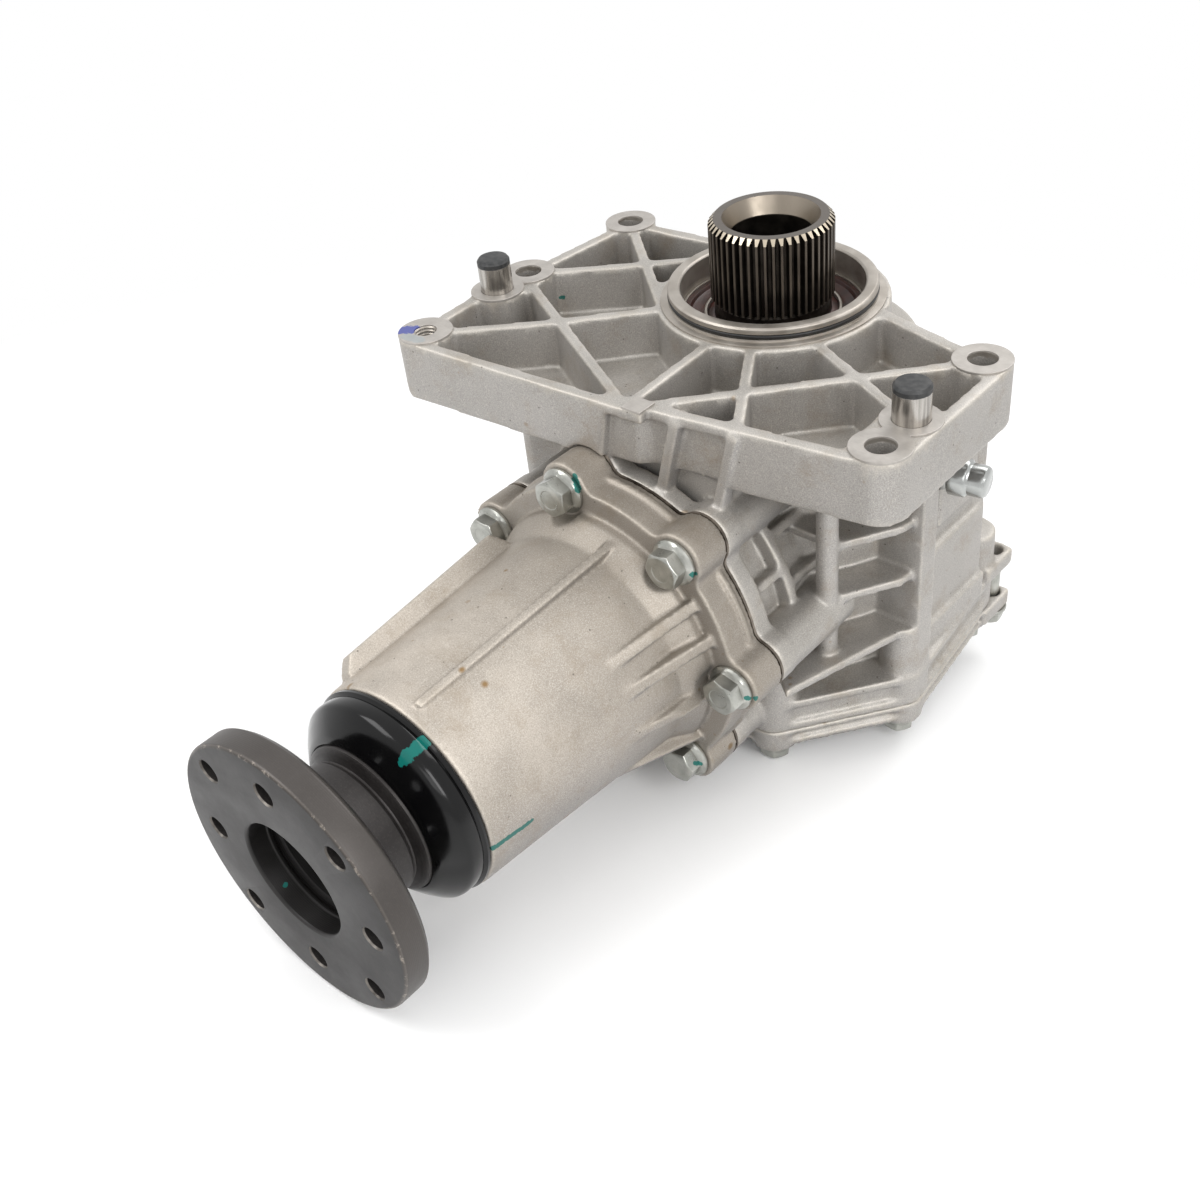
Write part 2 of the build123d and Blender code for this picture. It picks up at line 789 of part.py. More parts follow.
def tooth_outline(teeth, cone_angle, distance, shift):
    """Half outline of a tooth, as (offset, rise) points from the root up to the tip."""
    module = 2 * distance * sin(radians(cone_angle)) / teeth
    virtual = distance * tan(radians(cone_angle))
    base = virtual * cos(radians(pressure_angle))
    tip = virtual + (1 + shift) * module
    root = virtual - (1 + root_clearance - shift) * module
    flat = tan(radians(pressure_angle))
    slack = backlash / 2 * distance / outer_cone
    half_width = module * (pi / 4 + shift * flat) - slack
    involute = flat - radians(pressure_angle)

    def half_angle(radius):
        turn = acos(min(1, base / radius))
        return half_width / virtual + involute - (tan(turn) - turn)

    points = []
    low = max(base, root)
    bottom = half_angle(low)
    points.append(((root - 0.5 * module) * sin(bottom), (root - 0.5 * module) * cos(bottom) - virtual))
    for step in range(4):
        radius = low + (tip - low) * step / 3
        points.append((radius * sin(half_angle(radius)), radius * cos(half_angle(radius)) - virtual))
    return points


def tooth(teeth, cone_angle, shift, phase, hand):
    """One spiral tooth about +Z with its apex at the origin, lofted along the face."""
    sections = []
    for distance in (inner_cone, inner_cone + face_width / 3, outer_cone - face_width / 3, outer_cone):
        swing = tan(radians(spiral_angle)) * log(distance / mean_cone) / sin(radians(cone_angle))
        angle = phase + hand * degrees(swing)
        half = tooth_outline(teeth, cone_angle, distance, shift)
        outline = [(-u, v) for u, v in half] + [(u, v) for u, v in reversed(half)]
        points = []
        for u, v in outline:
            radius, axial = gear_point(distance, v, cone_angle)
            points.append(Vector(radius, u, axial).rotate(Axis.Z, angle))
        sections.append(make_face(Polyline(*points, close=True)))
    return loft(sections, ruled=True)


def gear_blank(teeth, cone_angle, shift, bore, back, back_radius):
    """Coned blank under the teeth."""
    def root(distance):
        module = 2 * distance * sin(radians(cone_angle)) / teeth
        return gear_point(distance, -(1 + root_clearance - shift) * module, cone_angle)

    inner = root(inner_cone)
    outer = root(outer_cone)
    behind = [(back_radius, outer[1] + 2), (back_radius, back), (bore, back)]
    return spin([(bore, inner[1]), inner, outer] + behind)


def toothed(teeth, cone_angle, shift, start, hand, blank):
    first = tooth(teeth, cone_angle, shift, start, hand)
    copies = [Rot(0, 0, k * 360 / teeth) * first for k in range(teeth)]
    return blank + copies


def ring_gear():
    blank = gear_blank(ring_teeth, ring_angle, -addendum_shift, ring_bore, ring_back - pinion_drop, 64.0)
    gear = toothed(ring_teeth, ring_angle, -addendum_shift, 90 + 180 / ring_teeth, -1, blank)
    for k in range(ring_bolt_count):
        spot_at = around(ring_bolt_circle, k * 360 / ring_bolt_count)
        gear -= Pos(*spot_at) * disc(m8, ring_back - pinion_drop - 14, ring_back - pinion_drop + 1)
    return Pos(0, 0, mesh_height) * Rot(180, 0, 0) * gear


def ring_gear_bolts():
    bolt = flange_bolt(m8 - thread_gap, m8_flats, 7.2, 6.0, carrier_flange + 12)
    spots = [around(ring_bolt_circle, k * 360 / ring_bolt_count) for k in range(ring_bolt_count)]
    return [Pos(0, 0, carrier_low) * Rot(180, 0, 0) * (Pos(*p) * bolt) for p in spots]


def pinion_shaft():
    shaft = gear_blank(pinion_teeth, pinion_angle, addendum_shift, 0, head_start, 24.0)
    shaft = toothed(pinion_teeth, pinion_angle, addendum_shift, -90, 1, shaft)
    spline_start = tail_bearing_end - 0.5
    shaft += disc(head_journal, head_start - 1, head_start + head_bearing_width + 1)
    shaft += disc(tail_journal, head_start + head_bearing_width, spline_start)
    shaft += disc(output_spline, spline_start - 1, nut_seat - free_gap)
    shaft += disc(nut_thread, nut_seat - 2, nut_seat + nut_height + 3)
    return to_output(shaft)


# Input shaft
def spline_profile():
    """External spline in plan, tapering from root to tip."""
    points = []
    for k in range(spline_teeth):
        middle = k * 360 / spline_teeth
        step = 360 / spline_teeth
        points += [around(spline_root, middle - step * 0.34), around(spline_tip, middle - step * 0.14)]
        points += [around(spline_tip, middle + step * 0.14), around(spline_root, middle + step * 0.34)]
    return make_face(Polyline(*points, close=True))


def input_shaft():
    spline_end = shaft_top - spline_length
    shaft = slab(spline_profile(), spline_end, shaft_top)
    outside = [(spline_tip + 1, spline_end - 1), (spline_tip + 1, shaft_top - spline_chamfer - 1)]
    top = [(spline_tip - spline_chamfer, shaft_top), (0, shaft_top)]
    shaft &= spin([(0, spline_end - 1)] + outside + top)
    shoulder = upper_bearing_top - input_bearing_width
    shaft += spin(
        [
            (0, spline_end + 0.5),
            (spline_root - 1.0, spline_end + 0.5),
            (journal_radius, spline_end - 1.0),
            (journal_radius, shoulder),
            (journal_radius + 4, shoulder),
            (journal_radius + 4, -ring_back + 16),
            (ring_bore - seat_gap, -ring_back + 12),
            (ring_bore - seat_gap, -ring_back),
            (carrier_radius, -ring_back),
            (carrier_radius, carrier_low),
            (lower_journal, carrier_low),
            (lower_journal, shaft_bottom),
            (0, shaft_bottom),
        ]
    )
    shaft -= disc(shaft_bore, shaft_bottom - 1, shaft_top + 1)
    funnel = [(shaft_bore, shaft_top - mouth_depth), (shaft_mouth, shaft_top), (shaft_mouth, shaft_top + 1)]
    shaft -= spin([(0, shaft_top - mouth_depth)] + funnel + [(0, shaft_top + 1)])
    for k in range(ring_bolt_count):
        spot_at = around(ring_bolt_circle, -k * 360 / ring_bolt_count)
        shaft -= Pos(*spot_at) * disc(m8 + hole_gap, carrier_low - 1, -ring_back + 1)
    return shaft


# Output flange
def output_flange():
    disc_back = flange_face - flange_disc
    hub_end = tail_bearing_end + seat_gap
    step = flange_face - flange_pilot_depth
    flange = spin(
        [
            (output_spline + seat_gap, hub_end),
            (seal_land, hub_end),
            (seal_land, collar_start),
            (collar_radius, collar_start),
            (collar_radius, collar_end),
            (neck_radius - 1, collar_end + 1.5),
            (neck_radius, collar_end + 5),
            (neck_radius + 1, disc_back - 1),
            (flange_disc_radius - 2.0, disc_back),
            (flange_disc_radius, disc_back + 2.0),
            (flange_disc_radius, flange_face - 0.8),
            (flange_disc_radius - 0.8, flange_face),
            (flange_bore, flange_face),
            (flange_bore, step),
            (flange_bore - 1.2, step),
            (flange_bore - 1.2, nut_seat),
            (output_spline + seat_gap, nut_seat),
        ]
    )
    for k in range(4):
        for circle, angle in ((plain_hole_circle, 90 * k), (tapped_hole_circle, 90 * k + 45)):
            flange -= Pos(*around(circle, angle)) * disc(flange_hole, disc_back - 1, flange_face + 1)
    return to_output(flange)


def dust_shield():
    inner = collar_radius + seat_gap
    rim = housing_end + 0.6
    front = collar_end - 2.2
    outside = [
        (shield_radius + 0.6, rim),
        (shield_radius, rim + 2),
        (shield_radius, rim + 6.5),
        (shield_radius - 1.3, rim + 10),
        (shield_radius - 4.2, rim + 13.2),
        (inner + 1.3, front),
    ]
    inside = [
        (inner, front),
        (inner, front - 7),
        (inner + 1.5, front - 7),
        (inner + 2.4, front - 2.6),
        (shield_radius - 5.4, rim + 11.6),
        (shield_radius - 2.8, rim + 9.2),
        (shield_radius - shield_sheet, rim + 6.2),
        (shield_radius - shield_sheet, rim),
    ]
    return to_output(spin(outside + inside))


def pinion_nut():
    nut = extrude(RegularPolygon(18.0, 6, major_radius=False), nut_height) + disc(20.5, 0, 2.5)
    return to_output(Pos(0, 0, nut_seat) * (nut - disc(nut_thread + thread_gap, -1, nut_height + 1)))


def crush_sleeve():
    start = head_start + head_bearing_width + seat_gap
    end = tail_bearing_end - tail_bearing_width - seat_gap
    middle = (start + end) / 2
    inner = head_journal + 0.8
    outside = [(inner + 3, start), (inner + 3, middle - 14), (inner + 5.5, middle), (inner + 3, middle + 14)]
    tail_bore = tail_journal + 0.4
    step = [(inner + 3, end), (tail_bore, end), (tail_bore, end - 4), (inner, end - 12)]
    return to_output(spin([(inner, start)] + outside + step))


save("main_case", main_case())
save("bottom_cover", bottom_cover())
save("output_housing", output_housing())
save("output_shim", output_shim())
save("housing_bolts", *housing_bolts())
save("cover_bolts", *cover_bolts())
save("dowel_pins", *dowel_pins())
save("spigot_o_ring", o_ring())
save("input_seal", input_seal())
save("output_seal", output_seal())
save("half_shaft_seal", half_shaft_seal())
save("filler_plug", filler_plug())
save("drain_plug", drain_plug())
save("plug_washers", *plug_washers())
save("breather_body", breather_body())
save("breather_cap", breather_cap())

upper_place = Pos(0, 0, upper_bearing_top - input_bearing_width)
lower_place = Pos(0, 0, carrier_low) * Rot(180, 0, 0)
head_place = output_axis * Pos(0, 0, head_start)
tail_place = output_axis * Pos(0, 0, tail_bearing_end) * Rot(180, 0, 0)
bearings = (
    ("upper", upper_place, journal_radius, upper_bearing_radius, input_bearing_width, 14),
    ("lower", lower_place, lower_journal, lower_bearing_radius, input_bearing_width - 2, 14),
    ("head", head_place, head_journal, head_bearing_radius, head_bearing_width, 12),
    ("tail", tail_place, tail_journal, tail_bearing_radius, tail_bearing_width, 12),
)
for name, place, bore, outer, width, count in bearings:
    cup, cone, rollers, cage = taper_bearing(bore, outer, width, count)
    save(name + "_bearing_cup", place * cup)
    save(name + "_bearing_cone", place * cone)
    save(name + "_bearing_rollers", *[place * r for r in rollers])
    save(name + "_bearing_cage", place * cage)

save("input_shaft", input_shaft())
save("ring_gear", ring_gear())
save("ring_gear_bolts", *ring_gear_bolts())
save("pinion_shaft", pinion_shaft())
save("crush_sleeve", crush_sleeve())
save("output_flange", output_flange())
save("dust_shield", dust_shield())
save("pinion_nut", pinion_nut())
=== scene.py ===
import math

import bmesh
import bpy
from mathutils import Matrix, Vector


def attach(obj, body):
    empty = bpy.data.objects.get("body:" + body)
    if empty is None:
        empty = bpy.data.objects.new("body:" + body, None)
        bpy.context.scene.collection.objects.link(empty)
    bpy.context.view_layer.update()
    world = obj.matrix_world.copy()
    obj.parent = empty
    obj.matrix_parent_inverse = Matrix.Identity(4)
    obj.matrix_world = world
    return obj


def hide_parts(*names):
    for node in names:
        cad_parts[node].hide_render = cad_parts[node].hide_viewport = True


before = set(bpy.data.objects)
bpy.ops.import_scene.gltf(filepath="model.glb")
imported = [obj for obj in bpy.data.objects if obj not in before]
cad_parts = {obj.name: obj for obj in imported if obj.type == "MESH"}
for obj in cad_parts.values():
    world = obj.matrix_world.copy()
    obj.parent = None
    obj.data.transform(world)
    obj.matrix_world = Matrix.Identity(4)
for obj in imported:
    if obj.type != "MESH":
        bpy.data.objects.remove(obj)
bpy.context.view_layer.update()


# Main case
# The real piece is a die-cast aluminium gear case with a lattice plate on top, blasted grey, whose face
# and bosses are milled flush after casting. Remeshing the solid gives the small radii of the die.
MM = 0.001
TEAL = "#0f6b63"
POCKET_DOT = ((-92.6, -30.2, -12.7), (-92.7, -28.4, -12.9), 1.1)
CAST_TOP = -0.8 * MM
SPIGOT_SEAM = 45.6 * MM
SEAL_DEPTH = 13.0 * MM


def linear(code):
    """Linear colour of an sRGB hex value."""
    channels = [int(code[i : i + 2], 16) / 255 for i in (1, 3, 5)]
    return [c / 12.92 if c <= 0.04045 else ((c + 0.055) / 1.055) ** 2.4 for c in channels] + [1.0]


def fill(tree, item, sockets):
    """Fills a node's sockets, by name or in order, with numbers, colours or what other nodes give.
    A whole node stands for its first output in use."""
    in_use = [socket for socket in item.inputs if socket.enabled]
    pairs = sockets.items() if isinstance(sockets, dict) else zip(in_use, sockets)
    for key, value in pairs:
        socket = item.inputs[key] if isinstance(key, str) else key
        if isinstance(value, bpy.types.Node):
            value = next(output for output in value.outputs if output.enabled)
        if isinstance(value, bpy.types.NodeSocket):
            tree.links.new(value, socket)
        else:
            socket.default_value = value


def add(tree, kind, sockets=(), **settings):
    """A shader node with its settings and links."""
    item = tree.nodes.new("ShaderNode" + kind)
    for key, value in settings.items():
        setattr(item, key, value)
    fill(tree, item, sockets)
    return item


def finish_named(name):
    """An empty material with its tree, its Principled shader and its object coordinates."""
    material = bpy.data.materials.new(name)
    material.use_nodes = True
    tree = material.node_tree
    shader = tree.nodes["Principled BSDF"]
    where = add(tree, "TexCoord").outputs["Object"]
    return material, tree, shader, where


def layered(tree, colour, layers):
    """Colour of a surface with thin layers laid over it. Each layer is the value that it follows, the
    range of that value, the layer's share at both ends of the range, and the layer's own colour."""
    for value, low, high, first, last, code in layers:
        share = add(tree, "MapRange", (value, low, high, first, last))
        colour = add(tree, "Mix", (share, colour, linear(code)), data_type="RGBA")
    return colour


def paint_stroke(tree, where, start, end, wide):
    """Share of a ragged brush stroke between two points, in millimetres."""
    first = Vector(start) * MM
    along = Vector(end) * MM - first
    ragged = add(tree, "TexNoise", {"Vector": where, "Scale": 1 / (1.7 * MM), "Detail": 2.0})
    shifted = add(tree, "VectorMath", (where, first), operation="SUBTRACT")
    reached = add(tree, "VectorMath", (shifted, along / along.length_squared), operation="DOT_PRODUCT")
    held = add(tree, "MapRange", (reached, 0, 1, 0, 1))
    nearest = add(tree, "VectorMath", (along, held), operation="SCALE")
    off = add(tree, "VectorMath", (shifted, nearest), operation="DISTANCE")
    rough = add(tree, "Math", (ragged, 1.2 * wide * MM, off), operation="MULTIPLY_ADD")
    return add(tree, "MapRange", (rough, 1.5 * wide * MM, 1.65 * wide * MM, 0.9, 0))


def dabbed(tree, where, colour, strokes):
    """Colour with strokes of the teal paint that marks a torque check."""
    layers = [(paint_stroke(tree, where, *stroke), 0, 1, 0, 1, TEAL) for stroke in strokes]
    return layered(tree, colour, layers)


def cast_aluminium(name, pale, dark, downward_painted_shade, stain_share):
    """Die-cast aluminium as blasted: matt grey with a fine sparkling grain, with painted shade in the
    corners and on faces that look down, creamy on edges partly from wear and partly as painted highlight,
    with faint cloudy oxide, tiny pinholes and a few brown stains.
    The real grain is about 0.2 mm. It is drawn at 0.45 mm, as coarse as it has to be to show."""
    material, tree, shader, where = finish_named(name)
    place = add(tree, "NewGeometry").outputs
    facing = add(tree, "SeparateXYZ", [place["Normal"]])
    cloud = add(tree, "TexNoise", {"Vector": where, "Scale": 1 / (38 * MM), "Detail": 5.0, "Roughness": 0.6})
    grain = add(tree, "TexNoise", {"Vector": where, "Scale": 1 / (0.45 * MM), "Detail": 2.0})
    soil = add(tree, "TexNoise", {"Vector": where, "Scale": 1 / (16 * MM), "Detail": 6.0, "Roughness": 0.7})
    pores = add(tree, "TexVoronoi", {"Vector": where, "Scale": 1 / (7 * MM), "Randomness": 1.0})
    specks = add(tree, "TexVoronoi", {"Vector": where, "Scale": 1 / (11 * MM), "Randomness": 1.0})
    spot_size = add(tree, "TexNoise", {"Vector": where, "Scale": 1 / (30 * MM), "Detail": 2.0})
    limit = add(tree, "MapRange", (spot_size, 0.5, 0.8, 0, 0.24))
    stain = add(tree, "Math", (limit, specks), operation="SUBTRACT")
    body = layered(
        tree,
        linear(dark),
        (
            (cloud, 0.35, 0.68, 0, 1, pale),
            # Painted shade: faces that look down are greyer.
            (facing.outputs["Z"], -0.45, 0.25, 0.85, 0, downward_painted_shade),
            (grain, 0.5, 0.75, 0, 0.5, "#dcd7ce"),
            (grain, 0.25, 0.46, 0.35, 0, "#6b665f"),
            (soil, 0.52, 0.75, 0, 0.5, "#948673"),
            # Painted shade: hollow corners are darker.
            (place["Pointiness"], 0.43, 0.492, 0.38, 0, "#6d685f"),
            # Convex edges are creamy, partly as wear and partly as painted highlight.
            (place["Pointiness"], 0.512, 0.57, 0, 0.5, "#ded6c8"),
            (pores, 0.045, 0.07, 0.6, 0, "#4d4842"),
            (stain, -0.03, 0.06, 0, stain_share, "#86693f"),
        ),
    )
    relief = add(tree, "Bump", {"Height": grain, "Distance": 0.07 * MM})
    dull = add(tree, "MapRange", (cloud, 0.3, 0.7, 0.46, 0.56))
    fill(tree, shader, {"Metallic": 0.68, "Roughness": dull, "Normal": relief})
    return material, tree, shader, where, body


def add_to_scene(mesh, name, material):
    """A piece of the scene from its mesh, in one material."""
    thing = bpy.data.objects.new(name, mesh)
    bpy.context.scene.collection.objects.link(thing)
    thing.data.materials.clear()
    thing.data.materials.append(material)
    return thing


def apply_all(thing):
    """Applies the piece's modifiers in their order."""
    for other in bpy.context.selected_objects:
        other.select_set(False)
    bpy.context.view_layer.objects.active = thing
    thing.select_set(True)
    for modifier in list(thing.modifiers):
        bpy.ops.object.modifier_apply(modifier=modifier.name)


def smoothed(mesh, degrees):
    """Smooth shading that stays crisp where two faces turn by more than some degrees."""
    mesh.polygons.foreach_set("use_smooth", [True] * len(mesh.polygons))
    mesh.set_sharp_from_angle(angle=math.radians(degrees))


def settled(thing, body, slot_name, *stood_for):
    """Rides the piece on its body and hides the nodes that it stands for. Its slot name is not used."""
    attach(thing, body)
    for name in stood_for:
        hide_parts(name)


def cast_copy(node_name, name, material, voxel, rounds, faces):
    """The node's solid with the die's radii on every corner, in so many triangles at most. It is turned
    off the grid of the remesh meanwhile, so that long straight edges get no steps."""
    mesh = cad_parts[node_name].data.copy()
    skewed = Matrix.Rotation(0.42, 4, Vector((0.25, 0.15, 1.0)).normalized())
    mesh.transform(skewed)
    thing = add_to_scene(mesh, name, material)
    grid = thing.modifiers.new("die", "REMESH")
    grid.mode = "VOXEL"
    grid.voxel_size = voxel * MM
    soft = thing.modifiers.new("radii", "SMOOTH")
    soft.factor = 0.5
    soft.iterations = rounds
    apply_all(thing)
    triangles = 2 * len(thing.data.polygons)
    if triangles > faces:
        thin = thing.modifiers.new("thin", "DECIMATE")
        thin.ratio = faces / (1.025 * triangles)
        even = thing.modifiers.new("even", "SMOOTH")
        even.factor = 0.5
        even.iterations = 3
        apply_all(thing)
    thing.data.transform(skewed.inverted())
    return thing


# The third colour is painted shade for faces that look down.
case_metal, tree, shader, where, body = cast_aluminium(
    "blasted_die_cast_aluminium_case", "#b6b2ad", "#a5a19b", "#9b9999", 0.5
)
fill(tree, shader, {"Base Color": dabbed(tree, where, body, [POCKET_DOT])})
case = cast_copy("main_case", "case_casting", case_metal, 0.85, 6, 185000)
work = bmesh.new()
work.from_mesh(case.data)
for vertex in work.verts:
    if math.hypot(vertex.co.x, vertex.co.y) > SPIGOT_SEAM - 1.5 * MM:
        vertex.co.z = min(vertex.co.z, CAST_TOP)
gone = [
    face
    for face in work.faces
    if all(math.hypot(v.co.x, v.co.y) < SPIGOT_SEAM and v.co.z > -SEAL_DEPTH for v in face.verts)
]
bmesh.ops.delete(work, geom=gone, context="FACES")
work.to_mesh(case.data)
work.free()
smoothed(case.data, 50)
settled(case, "case", "case_casting", "main_case")


# Milled pads
# The bosses and the small pad at the front are milled flush after casting, which leaves flat pale
# faces with a crisp edge, fine cutter marks, and a blue marker stroke at the threaded corner.
def new_mesh(work, name):
    """Mesh of the work in hand, which is then let go."""
    mesh = bpy.data.meshes.new(name)
    work.to_mesh(mesh)
    work.free()
    return mesh


PAD_DEPTH = 1.1 * MM
PAD_EDGE = 0.2 * MM
FLAT = 0.01 * MM

# Milled aluminium: pale and even, with faint streaks along the cutter's way.
milled, tree, shader, where = finish_named("face_milled_aluminium")
along_cut = add(tree, "Mapping", {"Vector": where, "Scale": (0.25, 1, 1)})
marks = add(tree, "TexNoise", {"Vector": along_cut, "Scale": 1 / (0.7 * MM)})
smear = add(tree, "TexNoise", {"Vector": where, "Scale": 1 / (7 * MM), "Detail": 4.0})
wash = paint_stroke(tree, where, (-107.0, -107.5, 0), (-100.0, -106.8, 0), 2.6)
marker = paint_stroke(tree, where, (-112.6, -104.6, 0), (-108.6, -101.6, 0), 3.3)
face = layered(
    tree,
    linear("#a7a29c"),
    (
        (smear, 0.35, 0.7, 0, 1, "#b9b4ae"),
        (marks, 0.4, 0.7, 0, 0.2, "#918c86"),
        (wash, 0, 1, 0, 0.35, "#93aab4"),
        (marker, 0, 1, 0, 1, "#4a55a0"),
    ),
)
dull = add(tree, "MapRange", (smear, 0.3, 0.7, 0.38, 0.48))
relief = add(tree, "Bump", {"Height": marks, "Distance": 0.015 * MM})
fill(tree, shader, {"Base Color": face, "Metallic": 0.6, "Roughness": dull, "Normal": relief})
work = bmesh.new()
work.from_mesh(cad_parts["main_case"].data)
gone = [
    face
    for face in work.faces
    if any(abs(v.co.z) > FLAT or math.hypot(v.co.x, v.co.y) < SPIGOT_SEAM for v in face.verts)
]
bmesh.ops.delete(work, geom=gone, context="FACES")
bmesh.ops.remove_doubles(work, verts=work.verts, dist=FLAT)
pads = add_to_scene(new_mesh(work, "milled_pads"), "milled_pads", milled)
thick = pads.modifiers.new("thick", "SOLIDIFY")
thick.thickness = PAD_DEPTH
thick.offset = -1
broken = pads.modifiers.new("broken", "BEVEL")
broken.width = PAD_EDGE
broken.segments = 2
broken.angle_limit = math.radians(50)
apply_all(pads)
settled(pads, "case", "case_casting")


# Spigot ring
# The ring round the input shaft is turned from the casting in one setting, so its edges are crisp and
# its faces carry fine lathe rings. Its outside has the groove for the O-ring.
def turned(name, profile, material, steps=160, placed=None, crisp=24):
    """Lathe piece from a closed outline of (radius, height) points in millimetres, put in its place by
    a matrix. Its edges stay crisp where they turn by more than crisp degrees."""
    work = bmesh.new()
    rings = []
    for radius, height in profile:
        ring = []
        for step in range(steps if radius > 0 else 1):
            angle = math.tau * step / steps
            spot = Vector((radius * math.cos(angle), radius * math.sin(angle), height)) * MM
            ring.append(work.verts.new(spot))
        rings.append(ring)
    for one, two in zip(rings, rings[1:] + rings[:1]):
        if len(one) == 1 and len(two) == 1:
            continue
        for step in range(steps):
            after = (step + 1) % steps
            corners = [one[step % len(one)], one[after % len(one)]]
            corners += [two[after % len(two)], two[step % len(two)]]
            work.faces.new([c for i, c in enumerate(corners) if c not in corners[:i]])
    bmesh.ops.recalc_face_normals(work, faces=work.faces)
    if placed:
        bmesh.ops.transform(work, matrix=placed, verts=work.verts)
    mesh = new_mesh(work, name)
    smoothed(mesh, crisp)
    return add_to_scene(mesh, name, material)


def eased(points, size=0.5):
    """Outline with each sharp corner cut back by a small rounding in three steps."""
    result = []
    for index, here in enumerate(points):
        corner = Vector(here)
        back = Vector(points[index - 1]) - corner
        on = Vector(points[(index + 1) % len(points)]) - corner
        if math.degrees(back.angle(on)) > 165:
            result.append(here)
            continue
        reach = min(size, back.length * 0.4, on.length * 0.4)
        start = corner + back.normalized() * reach
        end = corner + on.normalized() * reach
        result.append(tuple(start))
        result.append(tuple(start * 0.25 + corner * 0.5 + end * 0.25))
        result.append(tuple(end))
    return result


# Width of one band of Blender's wave texture at a scale of 1.
BAND = 0.314


def turned_metal(name, pale, dark, rough, axis="Z", ring_gap=0.35, metallic=0.85):
    """Lathe-turned metal: a soft sheen with fine rings, and faint blotches of handling and oil."""
    material, tree, shader, where = finish_named(name)
    ring = add(
        tree,
        "TexWave",
        {"Vector": where, "Scale": BAND / (ring_gap * MM), "Distortion": 0.6, "Detail": 1.0},
        wave_type="BANDS",
        bands_direction=axis,
    )
    cloud = add(tree, "TexNoise", {"Vector": where, "Scale": 1 / (9 * MM), "Detail": 4.0})
    tone = layered(tree, linear(dark), [(cloud, 0.35, 0.7, 0, 1, pale)])
    dull = add(tree, "MapRange", (cloud, 0.3, 0.7, rough - 0.05, rough + 0.08))
    relief = add(tree, "Bump", {"Height": ring.outputs["Fac"], "Distance": 0.012 * MM})
    fill(tree, shader, {"Base Color": tone, "Metallic": metallic, "Roughness": dull, "Normal": relief})
    return material


spigot_metal = turned_metal("turned_aluminium", "#b7b1a9", "#9f988f", 0.4, metallic=0.8)
SPIGOT = [
    (37.8, -14.0),
    (37.8, 5.1),
    (38.6, 5.86),
    (42.3, 5.86),
    (43.1, 5.1),
    (43.1, 3.2),
    (41.3, 3.2),
    (41.3, 1.0),
    (43.1, 1.0),
    (43.1, 0.02),
    (46.3, 0.02),
    (46.3, -2.0),
    (41.0, -2.0),
    (41.0, -14.0),
]
spigot = turned("spigot_ring", eased(SPIGOT, 0.25), spigot_metal, 240)
settled(spigot, "case", "case_casting")


# Bolt bores
# Four clearance holes are bored through the plate with a small chamfer, and the near corner is
# tapped, so its bore shows the turns of the thread.
PLAIN_BORE = [(6.4, -0.03), (5.7, -0.65), (5.7, -26.6), (6.4, -26.6)]
THREAD_PITCH = 1.5
HOLES = ((-104.6, -36.3), (-98.8, 26.6), (98.5, -4.8), (99.2, -75.5), (-104.0, -99.5))
TAPPED = 5
tapped_bore = [(6.2, -26.0), (6.2, -0.05), (5.2, -0.05), (4.95, -0.3)]
for turn in range(17):
    drop = THREAD_PITCH * turn
    tapped_bore += [(4.95, -0.5 - drop), (4.35, -1.15 - drop), (4.35, -1.35 - drop)]
for number, (x, y) in enumerate(HOLES, 1):
    profile = tapped_bore if number == TAPPED else PLAIN_BORE
    spot = Matrix.Translation((x * MM, y * MM, 0))
    bore = turned("plate_bore_%d" % number, profile, spigot_metal, 72, spot)
    settled(bore, "case", "case_casting")


# O-ring of the spigot
# A black nitrile cord ring with a slight oily shine, seated in the groove.
# Its rubber is nearly black, with a film of dust that takes the shine off in patches.
CORD_CENTRE = Vector((42.3, 2.1))
CORD_RADIUS = 0.95
rubber, tree, shader, where = finish_named("black_nitrile_rubber")
dust = add(tree, "TexNoise", {"Vector": where, "Scale": 1 / (4 * MM), "Detail": 5.0})
tone = layered(tree, linear("#121212"), [(dust, 0.45, 0.8, 0, 0.4, "#33312e")])
dull = add(tree, "MapRange", (dust, 0.3, 0.7, 0.38, 0.55))
relief = add(tree, "Bump", {"Height": dust, "Distance": 0.03 * MM})
fill(tree, shader, {"Base Color": tone, "Roughness": dull, "Normal": relief})
cord = []
for step in range(16):
    angle = math.tau * step / 16
    cord.append(tuple(CORD_CENTRE + CORD_RADIUS * Vector((math.cos(angle), math.sin(angle)))))
settled(turned("spigot_cord_ring", cord, rubber, 240), "case", "black_rubber", "spigot_o_ring")


# Input seal
# A shaft seal pressed into the spigot: a steel case coated in red-brown rubber, with a dust lip, a
# dished face, a steel ring outside and another one behind the lip.
INPUT_SEAL = [
    (37.78, -14.0),
    (37.78, -6.4),
    (37.0, -5.9),
    (34.6, -5.9),
    (33.9, -7.4),
    (30.2, -8.2),
    (27.6, -8.0),
    (25.4, -7.0),
    (24.05, -6.6),
    (24.06, -7.6),
    (25.5, -9.6),
    (24.06, -10.8),
    (25.6, -13.2),
    (35.0, -14.0),
]
SEAL_STEEL = (
    ("seal_outer_ring", [(37.75, -6.3), (37.75, -5.2), (36.7, -5.2), (36.7, -6.3)]),
    ("seal_lip_ring", [(28.6, -8.3), (28.4, -6.4), (28.0, -6.1), (27.2, -6.1), (27.0, -7.9)]),
)

